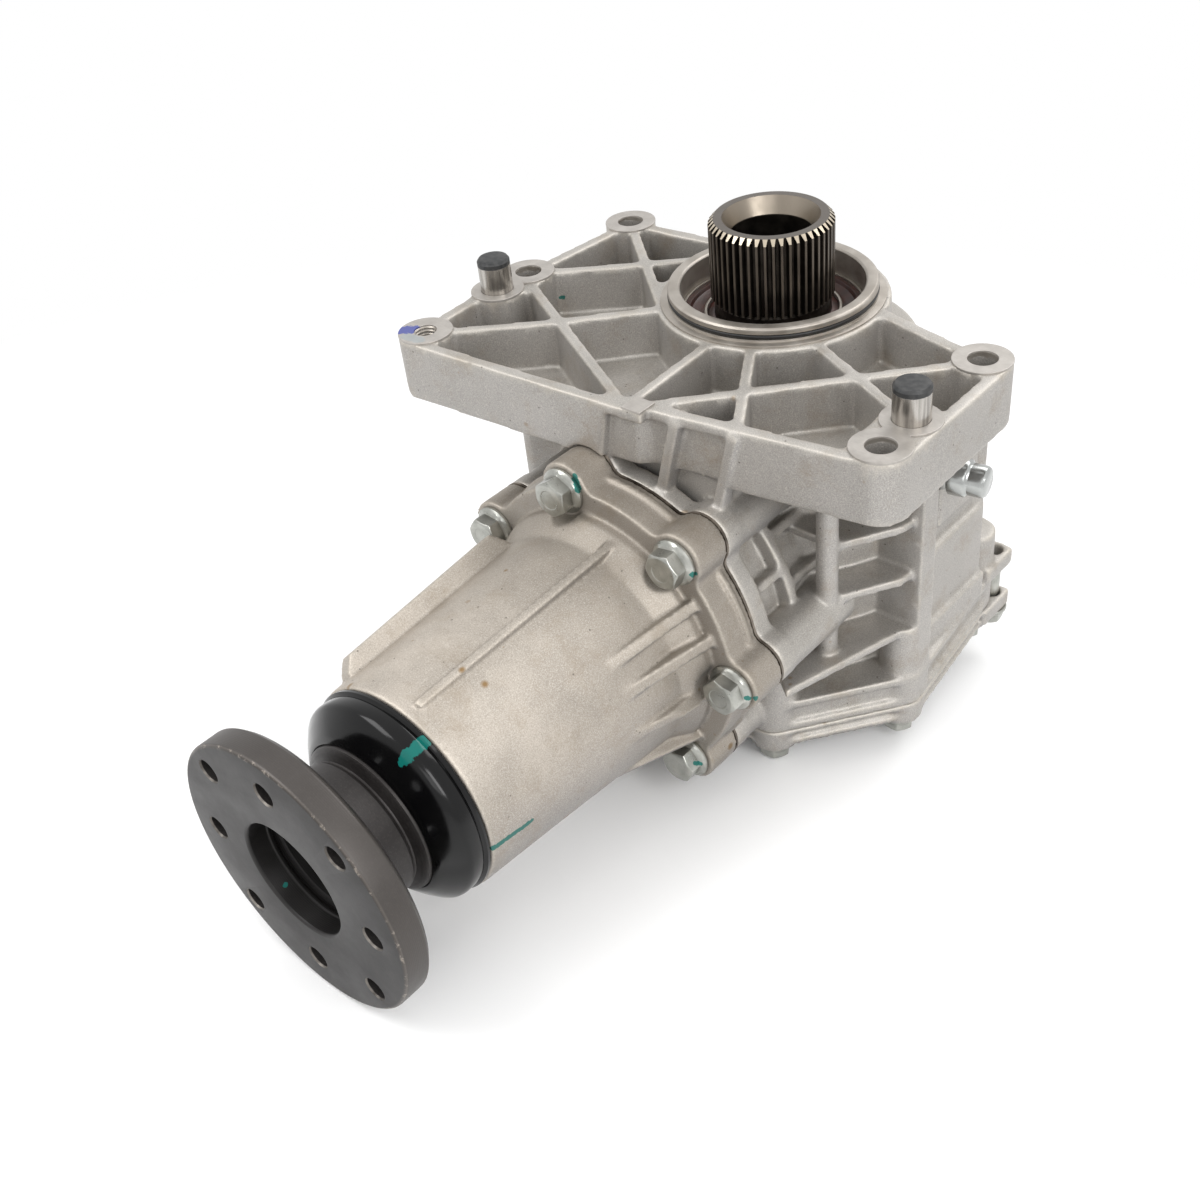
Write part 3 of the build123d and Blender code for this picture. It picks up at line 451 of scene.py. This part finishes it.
# Moulded fluoro rubber: dark red-brown, smooth enough to shine.
seal_rubber, tree, shader, where = finish_named("moulded_brown_fluoro_rubber")
mottle = add(tree, "TexNoise", {"Vector": where, "Scale": 1 / (6 * MM), "Detail": 4.0})
tone = layered(tree, linear("#27110d"), [(mottle, 0.35, 0.7, 0, 1, "#4b221a")])
relief = add(tree, "Bump", {"Height": mottle, "Distance": 0.05 * MM})
fill(tree, shader, {"Base Color": tone, "Roughness": 0.3, "Normal": relief})
seal = turned("input_lip_seal", eased(INPUT_SEAL, 0.35), seal_rubber, 200)
settled(seal, "case", "brown_rubber", "input_seal")
for name, profile in SEAL_STEEL:
    settled(turned(name, eased(profile, 0.2), spigot_metal, 200), "case", "ground_steel")


# Dowel pins
# Two hardened pins, ground bright on the side, pressed into the plate. Their ends keep the dark
# oxide of heat treatment down to a short band below the chamfer.
DOWELS = ((-104.5, -56.0), (98.6, -54.9))
OXIDE_FOOT = 11.6 * MM
PIN = [(0, -15.5), (6.6, -15.5), (7.0, -15.0), (7.0, 13.2), (6.2, 14.3), (5.6, 14.4), (0, 14.4)]

# Ground hardened steel: mirror-like, drawn in fine streaks along the pin, and sooty black at the end.
ground, tree, shader, where = finish_named("ground_hardened_steel")
height = add(tree, "SeparateXYZ", [where]).outputs["Z"]
drawn = add(tree, "Mapping", {"Vector": where, "Scale": (1, 1, 0.08)})
streak = add(tree, "TexNoise", {"Vector": drawn, "Scale": 1 / (1.2 * MM), "Detail": 3.0})
soot = add(tree, "TexNoise", {"Vector": where, "Scale": 1 / (2.5 * MM), "Detail": 4.0})
bright = layered(tree, linear("#96928d"), [(streak, 0.35, 0.7, 0, 1, "#bfbbb5")])
sooty = layered(tree, linear("#303132"), [(soot, 0.35, 0.75, 0, 0.7, "#555453")])
ragged = add(tree, "Math", (soot, 0.5 * MM, height), operation="MULTIPLY_ADD")
top = add(tree, "MapRange", (ragged, OXIDE_FOOT, OXIDE_FOOT + 0.2 * MM, 0, 1))
tone = add(tree, "Mix", (top, bright, sooty), data_type="RGBA")
metallic = add(tree, "MapRange", (top, 0, 1, 0.95, 0.4))
dull = add(tree, "MapRange", (top, 0, 1, 0.25, 0.5))
relief = add(tree, "Bump", {"Height": soot, "Distance": 0.01 * MM})
fill(tree, shader, {"Base Color": tone, "Metallic": metallic, "Roughness": dull, "Normal": relief})
for number, (x, y) in enumerate(DOWELS, 1):
    spot = Matrix.Translation((x * MM, y * MM, 0))
    settled(turned("dowel_pin_%d" % number, PIN, ground, 96, spot), "case", "ground_steel")
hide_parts("dowel_pins")


# Output housing
# A long aluminium nose, cast with fins along its taper and bolted to the case by seven bosses. It is
# browner than the case and lightly spotted with corrosion, with painted shade near the bosses.
PAINT_MARKS = (
    ((-7.6, -118.8, -26.8), (-5.3, -119.9, -31.8), 1.3),
    ((49.1, -120.6, -48.8), (49.1, -119.6, -49.3), 1.3),
    ((51.8, -118.8, -50.2), (52.4, -118.8, -50.6), 1.1),
    ((71.8, -120.8, -97.0), (71.9, -120.2, -97.6), 1.3),
    ((74.4, -118.8, -98.0), (75.0, -118.8, -98.4), 1.1),
    ((46.1, -123.9, -144.2), (47.3, -121.5, -145.6), 0.9),
    ((43.7, -230.9, -100.6), (44.2, -212.4, -102.0), 1.2),
)
# The third colour is painted shade for faces that look down.
housing_metal, tree, shader, where, body = cast_aluminium(
    "blasted_die_cast_aluminium_housing", "#bdb4a9", "#a59d93", "#9a9796", 0.9
)
station = add(tree, "SeparateXYZ", [where]).outputs["Y"]
# Painted shade towards the bosses at the root of the nose.
body = layered(tree, body, [(station, -172 * MM, -134 * MM, 0, 0.32, "#6f685e")])
fill(tree, shader, {"Base Color": dabbed(tree, where, body, PAINT_MARKS)})
housing = cast_copy("output_housing", "housing_casting", housing_metal, 0.75, 5, 185000)
smoothed(housing.data, 60)
settled(housing, "case", "housing_casting", "output_housing")


# Bottom cover
# A shallow die-cast lid under the gear chamber, of the same alloy and finish as the case.
# Its rim carries the eyes of its bolts.
cover = cast_copy("bottom_cover", "cover_casting", case_metal, 0.8, 5, 150000)
smoothed(cover.data, 60)
settled(cover, "case", "cover_casting", "bottom_cover")


# Shim between case and housing
# A thin shim of rolled steel that sets the mesh of the gears, clamped by the seven bolts. Only its
# brownish edge shows.
def refinished(material, *node_names):
    """Gives CAD nodes that keep their own mesh the material of their real finish."""
    for node_name in node_names:
        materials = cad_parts[node_name].data.materials
        materials.clear()
        materials.append(material)


refinished(turned_metal("rolled_steel_shim", "#9c9287", "#3f3831", 0.4, "Y", 0.2, 0.7), "output_shim")


# Output flange
# A forged steel companion flange, turned all over and dark with manganese phosphate. The rim of its
# face is scratched bright from handling, and the holes have rubbed chamfers. Painted highlight lightens
# the rim all round, and painted shade darkens the front face and the bore.
AXIS_HEIGHT = -97.3
NOSE = Matrix(((1, 0, 0, 0), (0, 0, -1, 0), (0, 1, 0, AXIS_HEIGHT * MM), (0, 0, 0, 1)))
FLANGE_FACE = 284.4
FLANGE_RADIUS = 56.1
PILOT_RADIUS = 23.6
FLANGE = [
    (14.02, 196.1),
    (25.5, 196.1),
    (25.5, 243.5),
    (31.0, 243.5),
    (31.0, 249.2),
    (28.8, 250.5),
    (26.4, 251.3),
    (26.4, 252.4),
    (27.7, 253.4),
    (27.7, 268.6),
    (29.8, 271.0),
    (33.0, 271.9),
    (53.6, 271.9),
    (FLANGE_RADIUS, 274.2),
    (FLANGE_RADIUS, FLANGE_FACE - 0.9),
    (FLANGE_RADIUS - 0.9, FLANGE_FACE),
    (PILOT_RADIUS + 0.8, FLANGE_FACE),
    (PILOT_RADIUS, FLANGE_FACE - 0.8),
    (PILOT_RADIUS, 276.2),
    (23.0, 275.8),
    (23.0, 274.6),
    (PILOT_RADIUS, 274.2),
    (PILOT_RADIUS, 272.4),
    (22.4, 271.8),
    (22.4, 250.4),
    (14.02, 250.4),
]
HOLE_RINGS = ((41.6, 4.6, 0), (47.0, 4.6, 45))
HOLE_MIDDLE = 278.0
CHAMFER = 0.7
BORE_SPECK = ((-15.7, -279.9, -114.8), (-15.9, -279.5, -114.9), 0.8)

# Phosphated steel: nearly black and dull, faintly mottled, with the lathe's rings just under it.
phosphate, tree, shader, where = finish_named("phosphated_forged_steel")
grit = add(tree, "TexNoise", {"Vector": where, "Scale": 1 / (0.8 * MM), "Detail": 4.0})
patch = add(tree, "TexNoise", {"Vector": where, "Scale": 1 / (16 * MM), "Detail": 6.0, "Roughness": 0.65})
chips = add(tree, "TexNoise", {"Vector": where, "Scale": 1 / (3 * MM), "Detail": 5.0, "Roughness": 0.7})
across = add(tree, "SeparateXYZ", [where]).outputs
raised = add(tree, "Math", (across["Z"], -AXIS_HEIGHT * MM), operation="ADD")
radius = add(tree, "VectorMath", [add(tree, "CombineXYZ", (across["X"], raised))], operation="LENGTH")
rim = add(tree, "MapRange", (radius, (FLANGE_RADIUS - 1.5) * MM, (FLANGE_RADIUS - 0.7) * MM, 0, 1))
near_face = add(tree, "MapRange", (across["Y"], (1.0 - FLANGE_FACE) * MM, (0.6 - FLANGE_FACE) * MM, 0, 1))
corner = add(tree, "Math", (near_face, rim), operation="MULTIPLY")
chipped = add(tree, "MapRange", (chips, 0.56, 0.64, 0.12, 0.8))
scratch = add(tree, "Math", (chipped, corner), operation="MULTIPLY")
black = layered(
    tree,
    linear("#302d2c"),
    (
        (patch, 0.35, 0.7, 0, 1, "#3f3c3b"),
        (grit, 0.5, 0.8, 0, 0.25, "#5a5653"),
        # Painted highlight: the whole rim is lighter.
        (rim, 0, 1, 0, 0.45, "#5d5854"),
        # Painted shade: the front face is darker.
        (across["Y"], (0.5 - FLANGE_FACE) * MM, (0.2 - FLANGE_FACE) * MM, 0, 0.75, "#1f1d1d"),
        # Painted shade: the bore is darker.
        (radius, (PILOT_RADIUS + 0.2) * MM, (PILOT_RADIUS + 0.6) * MM, 0.75, 0, "#100f0f"),
        (scratch, 0, 1, 0, 1, "#a39a90"),
    ),
)
black = dabbed(tree, where, black, [BORE_SPECK])
dull = add(tree, "MapRange", (patch, 0.3, 0.7, 0.38, 0.5))
lathe = add(
    tree,
    "TexWave",
    {"Vector": where, "Scale": BAND / (0.7 * MM), "Distortion": 0.5},
    wave_type="BANDS",
    bands_direction="Y",
)
below = add(tree, "Bump", {"Height": lathe.outputs["Fac"], "Distance": 0.015 * MM})
relief = add(tree, "Bump", {"Height": grit, "Distance": 0.012 * MM, "Normal": below})
fill(tree, shader, {"Base Color": black, "Metallic": 0.55, "Roughness": dull, "Normal": relief})

# Bare steel: a dull silver where washers have rubbed the phosphate off.
rubbed = turned_metal("rubbed_bare_steel", "#85807a", "#55514d", 0.4, "Y", 0.3, 0.8)
flange = turned("companion_flange", eased(FLANGE, 0.5), phosphate, 256, NOSE)
flange.data.materials.append(rubbed)
drills = bmesh.new()
for ring_radius, hole, first in HOLE_RINGS:
    for quarter in range(4):
        angle = math.radians(first + 90 * quarter)
        x = ring_radius * math.cos(angle)
        y = ring_radius * math.sin(angle)
        for high, low, wide in ((12, -12, hole), (7.0, 5.7, hole + CHAMFER)):
            spot = Matrix.Translation(Vector((x, y, HOLE_MIDDLE + (high + low) / 2)) * MM)
            cut = bmesh.ops.create_cone(
                drills,
                cap_ends=True,
                segments=48,
                radius1=hole * MM,
                radius2=wide * MM,
                depth=(high - low) * MM,
                matrix=NOSE @ spot,
            )
            for vertex in cut["verts"] if wide > hole else []:
                for face in vertex.link_faces:
                    face.material_index = 1
drill_mesh = new_mesh(drills, "drills")
drill_mesh.materials.append(phosphate)
drill_mesh.materials.append(rubbed)
drill = bpy.data.objects.new("drills", drill_mesh)
bpy.context.scene.collection.objects.link(drill)
bored = flange.modifiers.new("holes", "BOOLEAN")
bored.object = drill
bored.operation = "DIFFERENCE"
bored.solver = "EXACT"
bored.use_self = True
apply_all(flange)
bpy.data.objects.remove(drill)
smoothed(flange.data, 28)
settled(flange, "output_rotor", "phosphated_steel", "output_flange")


# Dust shield
# A cup pressed from sheet steel and finished in gloss black enamel. It is pushed onto the flange's
# collar and turns in front of the housing, with a dab of teal assembly paint.
SHIELD = [
    (43.4, 231.8),
    (43.5, 232.9),
    (43.0, 233.5),
    (42.3, 233.9),
    (42.5, 234.6),
    (42.5, 238.6),
    (42.1, 239.9),
    (41.3, 240.9),
    (38.0, 243.9),
    (34.4, 246.6),
    (32.6, 247.9),
    (31.6, 248.2),
    (31.02, 247.9),
    (31.02, 244.0),
    (32.4, 244.2),
    (35.0, 244.9),
    (37.4, 243.0),
    (39.6, 240.8),
    (40.8, 238.6),
    (41.1, 236.0),
    (41.1, 231.8),
]
SHIELD_DAB = ((20.1, -242.6, -61.9), (21.5, -230.5, -59.7), 2.4)

# Gloss enamel: deep black with mirror-like lights, a slight orange peel and a thin film of dust.
enamel, tree, shader, where = finish_named("gloss_black_enamel")
orange_peel = add(tree, "TexNoise", {"Vector": where, "Scale": 1 / (2.2 * MM), "Detail": 2.0})
film = add(tree, "TexNoise", {"Vector": where, "Scale": 1 / (14 * MM), "Detail": 5.0})
tone = layered(tree, linear("#060607"), [(film, 0.4, 0.75, 0, 0.5, "#131312")])
tone = dabbed(tree, where, tone, [SHIELD_DAB])
dull = add(tree, "MapRange", (film, 0.35, 0.75, 0.1, 0.2))
relief = add(tree, "Bump", {"Height": orange_peel, "Distance": 0.008 * MM})
fill(tree, shader, {"Base Color": tone, "Roughness": dull, "Specular IOR Level": 0.3, "Normal": relief})
shield = turned("dust_shield_cup", SHIELD, enamel, 220, NOSE, 40)
settled(shield, "output_rotor", "black_enamel", "dust_shield")


# Flange bolts
# Hexagon bolts with a rolled washer face, zinc plated and dulled. Most carry a brushed teal stroke
# from the torque check. Their crowns are plain.
def hex_bolt(flats, flange_radius, head, shank, length):
    """Mesh of a flange bolt that stands on z=0 with its head up, in millimetres."""
    steps = 72
    crown = flats * 0.46
    work = bmesh.new()
    columns = []
    for step in range(steps):
        angle = math.tau * step / steps
        side = flats / 2 / math.cos((angle + math.pi / 6) % (math.pi / 3) - math.pi / 6)
        side = min(side, flats * 0.568)
        shoulder = head - max(0.0, side - crown) * 0.58
        outline = (
            (crown * 0.60, head - 0.12),
            (crown * 0.64, head),
            (crown - 0.25, head),
            (crown + 0.05, head - 0.06),
            (side - 0.12, shoulder),
            (side, shoulder - 0.25),
            (side, 3.1),
            (side + 0.5, 2.65),
            ((side + flange_radius) / 2 + 0.2, 2.25),
            (flange_radius - 0.5, 1.75),
            (flange_radius, 1.25),
            (flange_radius, 0.35),
            (flange_radius - 0.4, 0.0),
            (shank, 0.0),
            (shank, 1.0 - length),
            (shank - 0.8, -length),
        )
        column = []
        for radius, height in outline:
            spot = Vector((radius * math.cos(angle), radius * math.sin(angle), height)) * MM
            column.append(work.verts.new(spot))
        columns.append(column)
    work.faces.new([column[0] for column in columns])
    work.faces.new([column[-1] for column in reversed(columns)])
    for one, two in zip(columns, columns[1:] + columns[:1]):
        for row in range(len(one) - 1):
            work.faces.new((one[row], one[row + 1], two[row + 1], two[row]))
    bmesh.ops.recalc_face_normals(work, faces=work.faces)
    mesh = new_mesh(work, "bolt")
    smoothed(mesh, 22)
    return mesh


BOLT_CIRCLE = 63.5
BOLT_SEAT = 118.8
BOLT_COUNT = 7

# Dulled zinc: silver-grey and half bright, fine grime, painted shade in the corners and teal paint on some
# faces.
plating, tree, shader, where = finish_named("dull_zinc_plated_steel")
film = add(tree, "TexNoise", {"Vector": where, "Scale": 1 / (6 * MM), "Detail": 4.0})
fine = add(tree, "TexNoise", {"Vector": where, "Scale": 1 / (0.9 * MM), "Detail": 3.0})
tone = layered(
    tree,
    linear("#9c9d97"),
    (
        (film, 0.35, 0.68, 0, 1, "#b6b6b0"),
        (fine, 0.58, 0.8, 0, 0.4, "#66645b"),
        # Painted shade: hollow corners are darker.
        (add(tree, "NewGeometry").outputs["Pointiness"], 0.44, 0.49, 0.8, 0, "#56534b"),
    ),
)
tone = dabbed(tree, where, tone, PAINT_MARKS)
dull = add(tree, "MapRange", (film, 0.3, 0.7, 0.26, 0.36))
relief = add(tree, "Bump", {"Height": fine, "Distance": 0.015 * MM})
fill(tree, shader, {"Base Color": tone, "Metallic": 0.9, "Roughness": dull, "Normal": relief})
large_bolt = hex_bolt(14.0, 9.6, 9.0, 4.92, 32.8)
for number in range(BOLT_COUNT):
    angle = math.tau * number / BOLT_COUNT
    seat = Vector((BOLT_CIRCLE * math.cos(angle), BOLT_CIRCLE * math.sin(angle), BOLT_SEAT)) * MM
    mesh = large_bolt.copy()
    spin = Matrix.Rotation(math.radians(17 + 23 * number), 4, "Z")
    mesh.transform(NOSE @ Matrix.Translation(seat) @ spin)
    settled(add_to_scene(mesh, "housing_bolt_%d" % (number + 1), plating), "case", "zinc_steel")
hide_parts("housing_bolts")


# Cover bolts
# Smaller bolts of the same kind come up through the cover, and one clamps the two ears.
# They are plated as the flange bolts are.
COVER_CIRCLE = 87.3
COVER_ANGLES = (-56, -18.2, 30.8, 76, 118, 160, 201, 240)
COVER_SEAT = -168.0
EAR_BOLT = (80.0, 57.0, -165.0)
UPSIDE_DOWN = Matrix.Rotation(math.pi, 4, "X")
seats = []
for degrees in COVER_ANGLES:
    angle = math.radians(degrees)
    seats.append((COVER_CIRCLE * math.cos(angle), COVER_CIRCLE * math.sin(angle), COVER_SEAT))
seats.append(EAR_BOLT)
small_bolt = hex_bolt(12.0, 8.0, 7.5, 3.92, 24.0)
for number, seat in enumerate(seats):
    mesh = small_bolt.copy()
    spin = Matrix.Rotation(0.5 + number, 4, "Z")
    mesh.transform(Matrix.Translation(Vector(seat) * MM) @ spin @ UPSIDE_DOWN)
    settled(add_to_scene(mesh, "cover_bolt_%d" % (number + 1), plating), "case", "zinc_steel")
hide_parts("cover_bolts")


# Input shaft
# A hollow forged shaft with rolled splines, hardened and darkened. Its end cone is turned bright and
# the chamfers and tips of the teeth are rubbed pale.
TOOTH_ROOT = 23.05 * MM
TOOTH_TIP = 25.25 * MM
SHAFT_BORE = 19.75 * MM
CONE_FOOT = 26.2 * MM
CHAMFER_FOOT = 30.5 * MM
SHAFT_END = 33.69 * MM

# Hardened steel: dark brown-grey with an oily half shine, and pale where it is cut or rubbed.
spline_steel, tree, shader, where = finish_named("hardened_splined_steel")
place = add(tree, "NewGeometry").outputs
xyz = add(tree, "SeparateXYZ", [place["Position"]]).outputs
radius = add(tree, "VectorMath", [add(tree, "CombineXYZ", (xyz["X"], xyz["Y"]))], operation="LENGTH")
cloud = add(tree, "TexNoise", {"Vector": where, "Scale": 1 / (5 * MM), "Detail": 5.0})
inner = add(tree, "Math", (radius, SHAFT_BORE), operation="LESS_THAN")
deep = add(tree, "MapRange", (xyz["Z"], CONE_FOOT, CONE_FOOT + 0.6 * MM, 0, 1))
cone = add(tree, "Math", (deep, inner), operation="MULTIPLY")
facing = add(tree, "SeparateXYZ", [place["True Normal"]]).outputs["Z"]
upward = add(tree, "MapRange", (facing, 0.2, 0.3, 0, 1))
outer = add(tree, "Math", (radius, TOOTH_ROOT), operation="GREATER_THAN")
high = add(tree, "Math", (xyz["Z"], CHAMFER_FOOT), operation="GREATER_THAN")
tooth_end = add(tree, "Math", (upward, outer), operation="MULTIPLY")
tooth_end = add(tree, "Math", (tooth_end, high), operation="MULTIPLY")
tone = layered(
    tree,
    linear("#282420"),
    (
        (cloud, 0.35, 0.7, 0, 1, "#3b3631"),
        (radius, TOOTH_TIP - 0.45 * MM, TOOTH_TIP, 0, 0.7, "#756c62"),
        (cone, 0, 1, 0, 1, "#8d8478"),
        (tooth_end, 0, 1, 0, 1, "#c2b6a3"),
        (xyz["Z"], SHAFT_END - 0.09 * MM, SHAFT_END, 0, 1, "#66605a"),
    ),
)
dull = add(tree, "MapRange", (cloud, 0.3, 0.7, 0.28, 0.42))
fine = add(tree, "TexNoise", {"Vector": where, "Scale": 1 / (0.6 * MM), "Detail": 2.0})
relief = add(tree, "Bump", {"Height": fine, "Distance": 0.015 * MM})
fill(tree, shader, {"Base Color": tone, "Metallic": 0.85, "Roughness": dull, "Normal": relief})
refinished(spline_steel, "input_shaft")


# Breather
# A zinc-plated steel stem with a hexagon, and a glossier drawn cap with a rolled edge and a flat end
# crimped on it, screwed into the side of the case.
CAP = [
    (3.5, 6.2),
    (7.2, 6.2),
    (7.8, 6.8),
    (7.8, 12.6),
    (7.5, 13.3),
    (6.9, 13.8),
    (6.6, 14.4),
    (6.6, 19.2),
    (6.35, 20.3),
    (5.7, 21.1),
    (4.8, 21.45),
    (0, 21.5),
    (0, 17.0),
    (3.5, 17.0),
]
CAP_PLACE = Matrix.Translation((83 * MM, -6 * MM, -55 * MM))
SIDEWAYS = Matrix.Rotation(math.radians(10), 4, "Z") @ Matrix.Rotation(math.radians(90), 4, "Y")

# Bright zinc on drawn sheet: silver and smooth, with soft cloudy lights.
drawn_cap, tree, shader, where = finish_named("bright_zinc_drawn_cap")
film = add(tree, "TexNoise", {"Vector": where, "Scale": 1 / (4 * MM), "Detail": 4.0})
tone = layered(tree, linear("#a6a8a6"), [(film, 0.35, 0.7, 0, 1, "#b2b4b2")])
dull = add(tree, "MapRange", (film, 0.3, 0.7, 0.16, 0.26))
fill(tree, shader, {"Base Color": tone, "Metallic": 0.95, "Roughness": dull})
cap = turned("breather_shell", CAP, drawn_cap, 72, CAP_PLACE @ SIDEWAYS)
settled(cap, "case", "zinc_steel", "breather_cap")
refinished(plating, "breather_body")


# Plugs and washers
# The filler and drain plugs are plated steel with hexagon sockets, screwed into the case and sealed
# by soft aluminium washers.
refinished(plating, "filler_plug", "drain_plug")
refinished(spigot_metal, "plug_washers")


# Gears, bearings and hidden seals
# Hardened and ground steel: the bevel pair is darker, and the bearing rings are bright. The sheet
# cages and the crush sleeve are pressed steel. The two seals are black rubber.
BEARINGS = ("upper_bearing", "lower_bearing", "head_bearing", "tail_bearing")
gear_steel = turned_metal("carburised_gear_steel", "#77736d", "#4c4945", 0.33, "Z", 0.8, 0.85)
race_steel = turned_metal("ground_bearing_steel", "#c3c1bd", "#a19e99", 0.18, "Z", 0.25, 0.9)
sheet_steel = turned_metal("pressed_sheet_steel", "#918e88", "#6e6b66", 0.38, "Z", 0.6, 0.8)
for bearing in BEARINGS:
    refinished(race_steel, bearing + "_cup", bearing + "_cone", bearing + "_rollers")
    refinished(sheet_steel, bearing + "_cage")
refinished(sheet_steel, "crush_sleeve")
refinished(gear_steel, "ring_gear", "pinion_shaft")
refinished(plating, "pinion_nut", "ring_gear_bolts")
refinished(rubber, "output_seal", "half_shaft_seal")


# Floor, light and camera
# The unit rests on its cover bolts and the rim of its flange, so the pale table is tilted under it.
# Broad soft lamps stand left, right, in front and behind, as in a small studio.
REST_BOLT = Vector((0, -80.0, -175.5)) * MM
REST_RIM = Vector((0, -FLANGE_FACE, AXIS_HEIGHT - FLANGE_RADIUS)) * MM
TABLE_GAP = 0.6 * MM
WHITE = "#ffffff"
LAMPS = (
    ("key_box", (-0.55, -0.75, 1.0), (0, -0.1, -0.08), (0.8, 0.6), 7),
    ("rear_box", (0.2, 0.9, 0.9), (0, -0.05, -0.05), (1.0, 0.5), 6),
    ("right_box", (1.1, -0.35, 0.7), (0, -0.1, -0.08), (0.5, 0.7), 6.5),
    ("front_box", (0.85, -0.9, 0.55), (0, -0.15, -0.1), (0.7, 0.5), 2),
)
AZIMUTH, ELEVATION, ROLL = (math.radians(v) for v in (45.15, 37.85, 6.85))
EYE = Vector((320.1, -439.1, 268.7)) * MM


def plainly_seen(tree):
    """1 for rays from the camera, off metal or through glass, and 0 for light that is scattered."""
    path = add(tree, "LightPath").outputs
    mirrored = add(tree, "Math", (path["Is Camera Ray"], path["Is Glossy Ray"]), operation="ADD")
    return add(tree, "Math", (mirrored, path["Is Transmission Ray"]), operation="ADD", use_clamp=True)


# White table: matt, and shining white by itself further out, so that only the unit's shadow shows.
table, tree, shader, where = finish_named("white_studio_table")
direct = plainly_seen(tree)
away = add(tree, "VectorMath", [where], operation="LENGTH")
fade = add(tree, "MapRange", (away, 0.22, 0.65, 0, 1))
seen = add(tree, "Math", (fade, direct), operation="MULTIPLY")
lit = add(tree, "Emission", {"Color": linear(WHITE), "Strength": 1.0})
tone = layered(tree, linear("#b4b4b4"), [(direct, 0, 1, 0, 1, WHITE)])
fill(tree, shader, {"Base Color": tone, "Roughness": 0.9})
fill(tree, tree.nodes["Material Output"], {"Surface": add(tree, "MixShader", (seen, shader, lit))})
bpy.ops.mesh.primitive_grid_add(x_subdivisions=2, y_subdivisions=2, size=12)
floor = bpy.context.object
floor.name = "studio_table"
floor.data.materials.append(table)
floor.rotation_euler = (math.atan((REST_RIM.z - REST_BOLT.z) / (REST_RIM.y - REST_BOLT.y)), 0, 0)
floor.location = REST_BOLT - Vector((0, 0, TABLE_GAP))

world = bpy.data.worlds.new("soft_studio")
bpy.context.scene.world = world
world.use_nodes = True
air = world.node_tree
strength = add(air, "MapRange", (plainly_seen(air), 0, 1, 0.85, 1))
fill(air, air.nodes["Background"], {"Color": linear(WHITE), "Strength": strength})

for name, place, target, size, watts in LAMPS:
    light = bpy.data.lights.new(name, "AREA")
    light.shape = "RECTANGLE"
    light.size, light.size_y = size
    light.energy = watts
    lamp = bpy.data.objects.new(name, light)
    bpy.context.scene.collection.objects.link(lamp)
    lamp.location = place
    lamp.rotation_euler = (Vector(target) - Vector(place)).to_track_quat("-Z", "Y").to_euler()

level = math.cos(ELEVATION)
back = Vector((math.sin(AZIMUTH) * level, -math.cos(AZIMUTH) * level, math.sin(ELEVATION)))
right = Vector((math.cos(AZIMUTH), math.sin(AZIMUTH), 0))
down = right.cross(back)
across = math.cos(ROLL) * right + math.sin(ROLL) * down
lower = math.cos(ROLL) * down - math.sin(ROLL) * right
lens = bpy.data.cameras.new("studio_camera")
lens.sensor_width = 36
lens.lens = 42.96
lens.clip_end = 20
camera = bpy.data.objects.new("studio_camera", lens)
bpy.context.scene.collection.objects.link(camera)
turn = Matrix((across, -lower, back)).transposed()
camera.matrix_world = Matrix.Translation(EYE) @ turn.to_4x4()
bpy.context.scene.camera = camera
bpy.context.scene.view_settings.view_transform = "Standard"
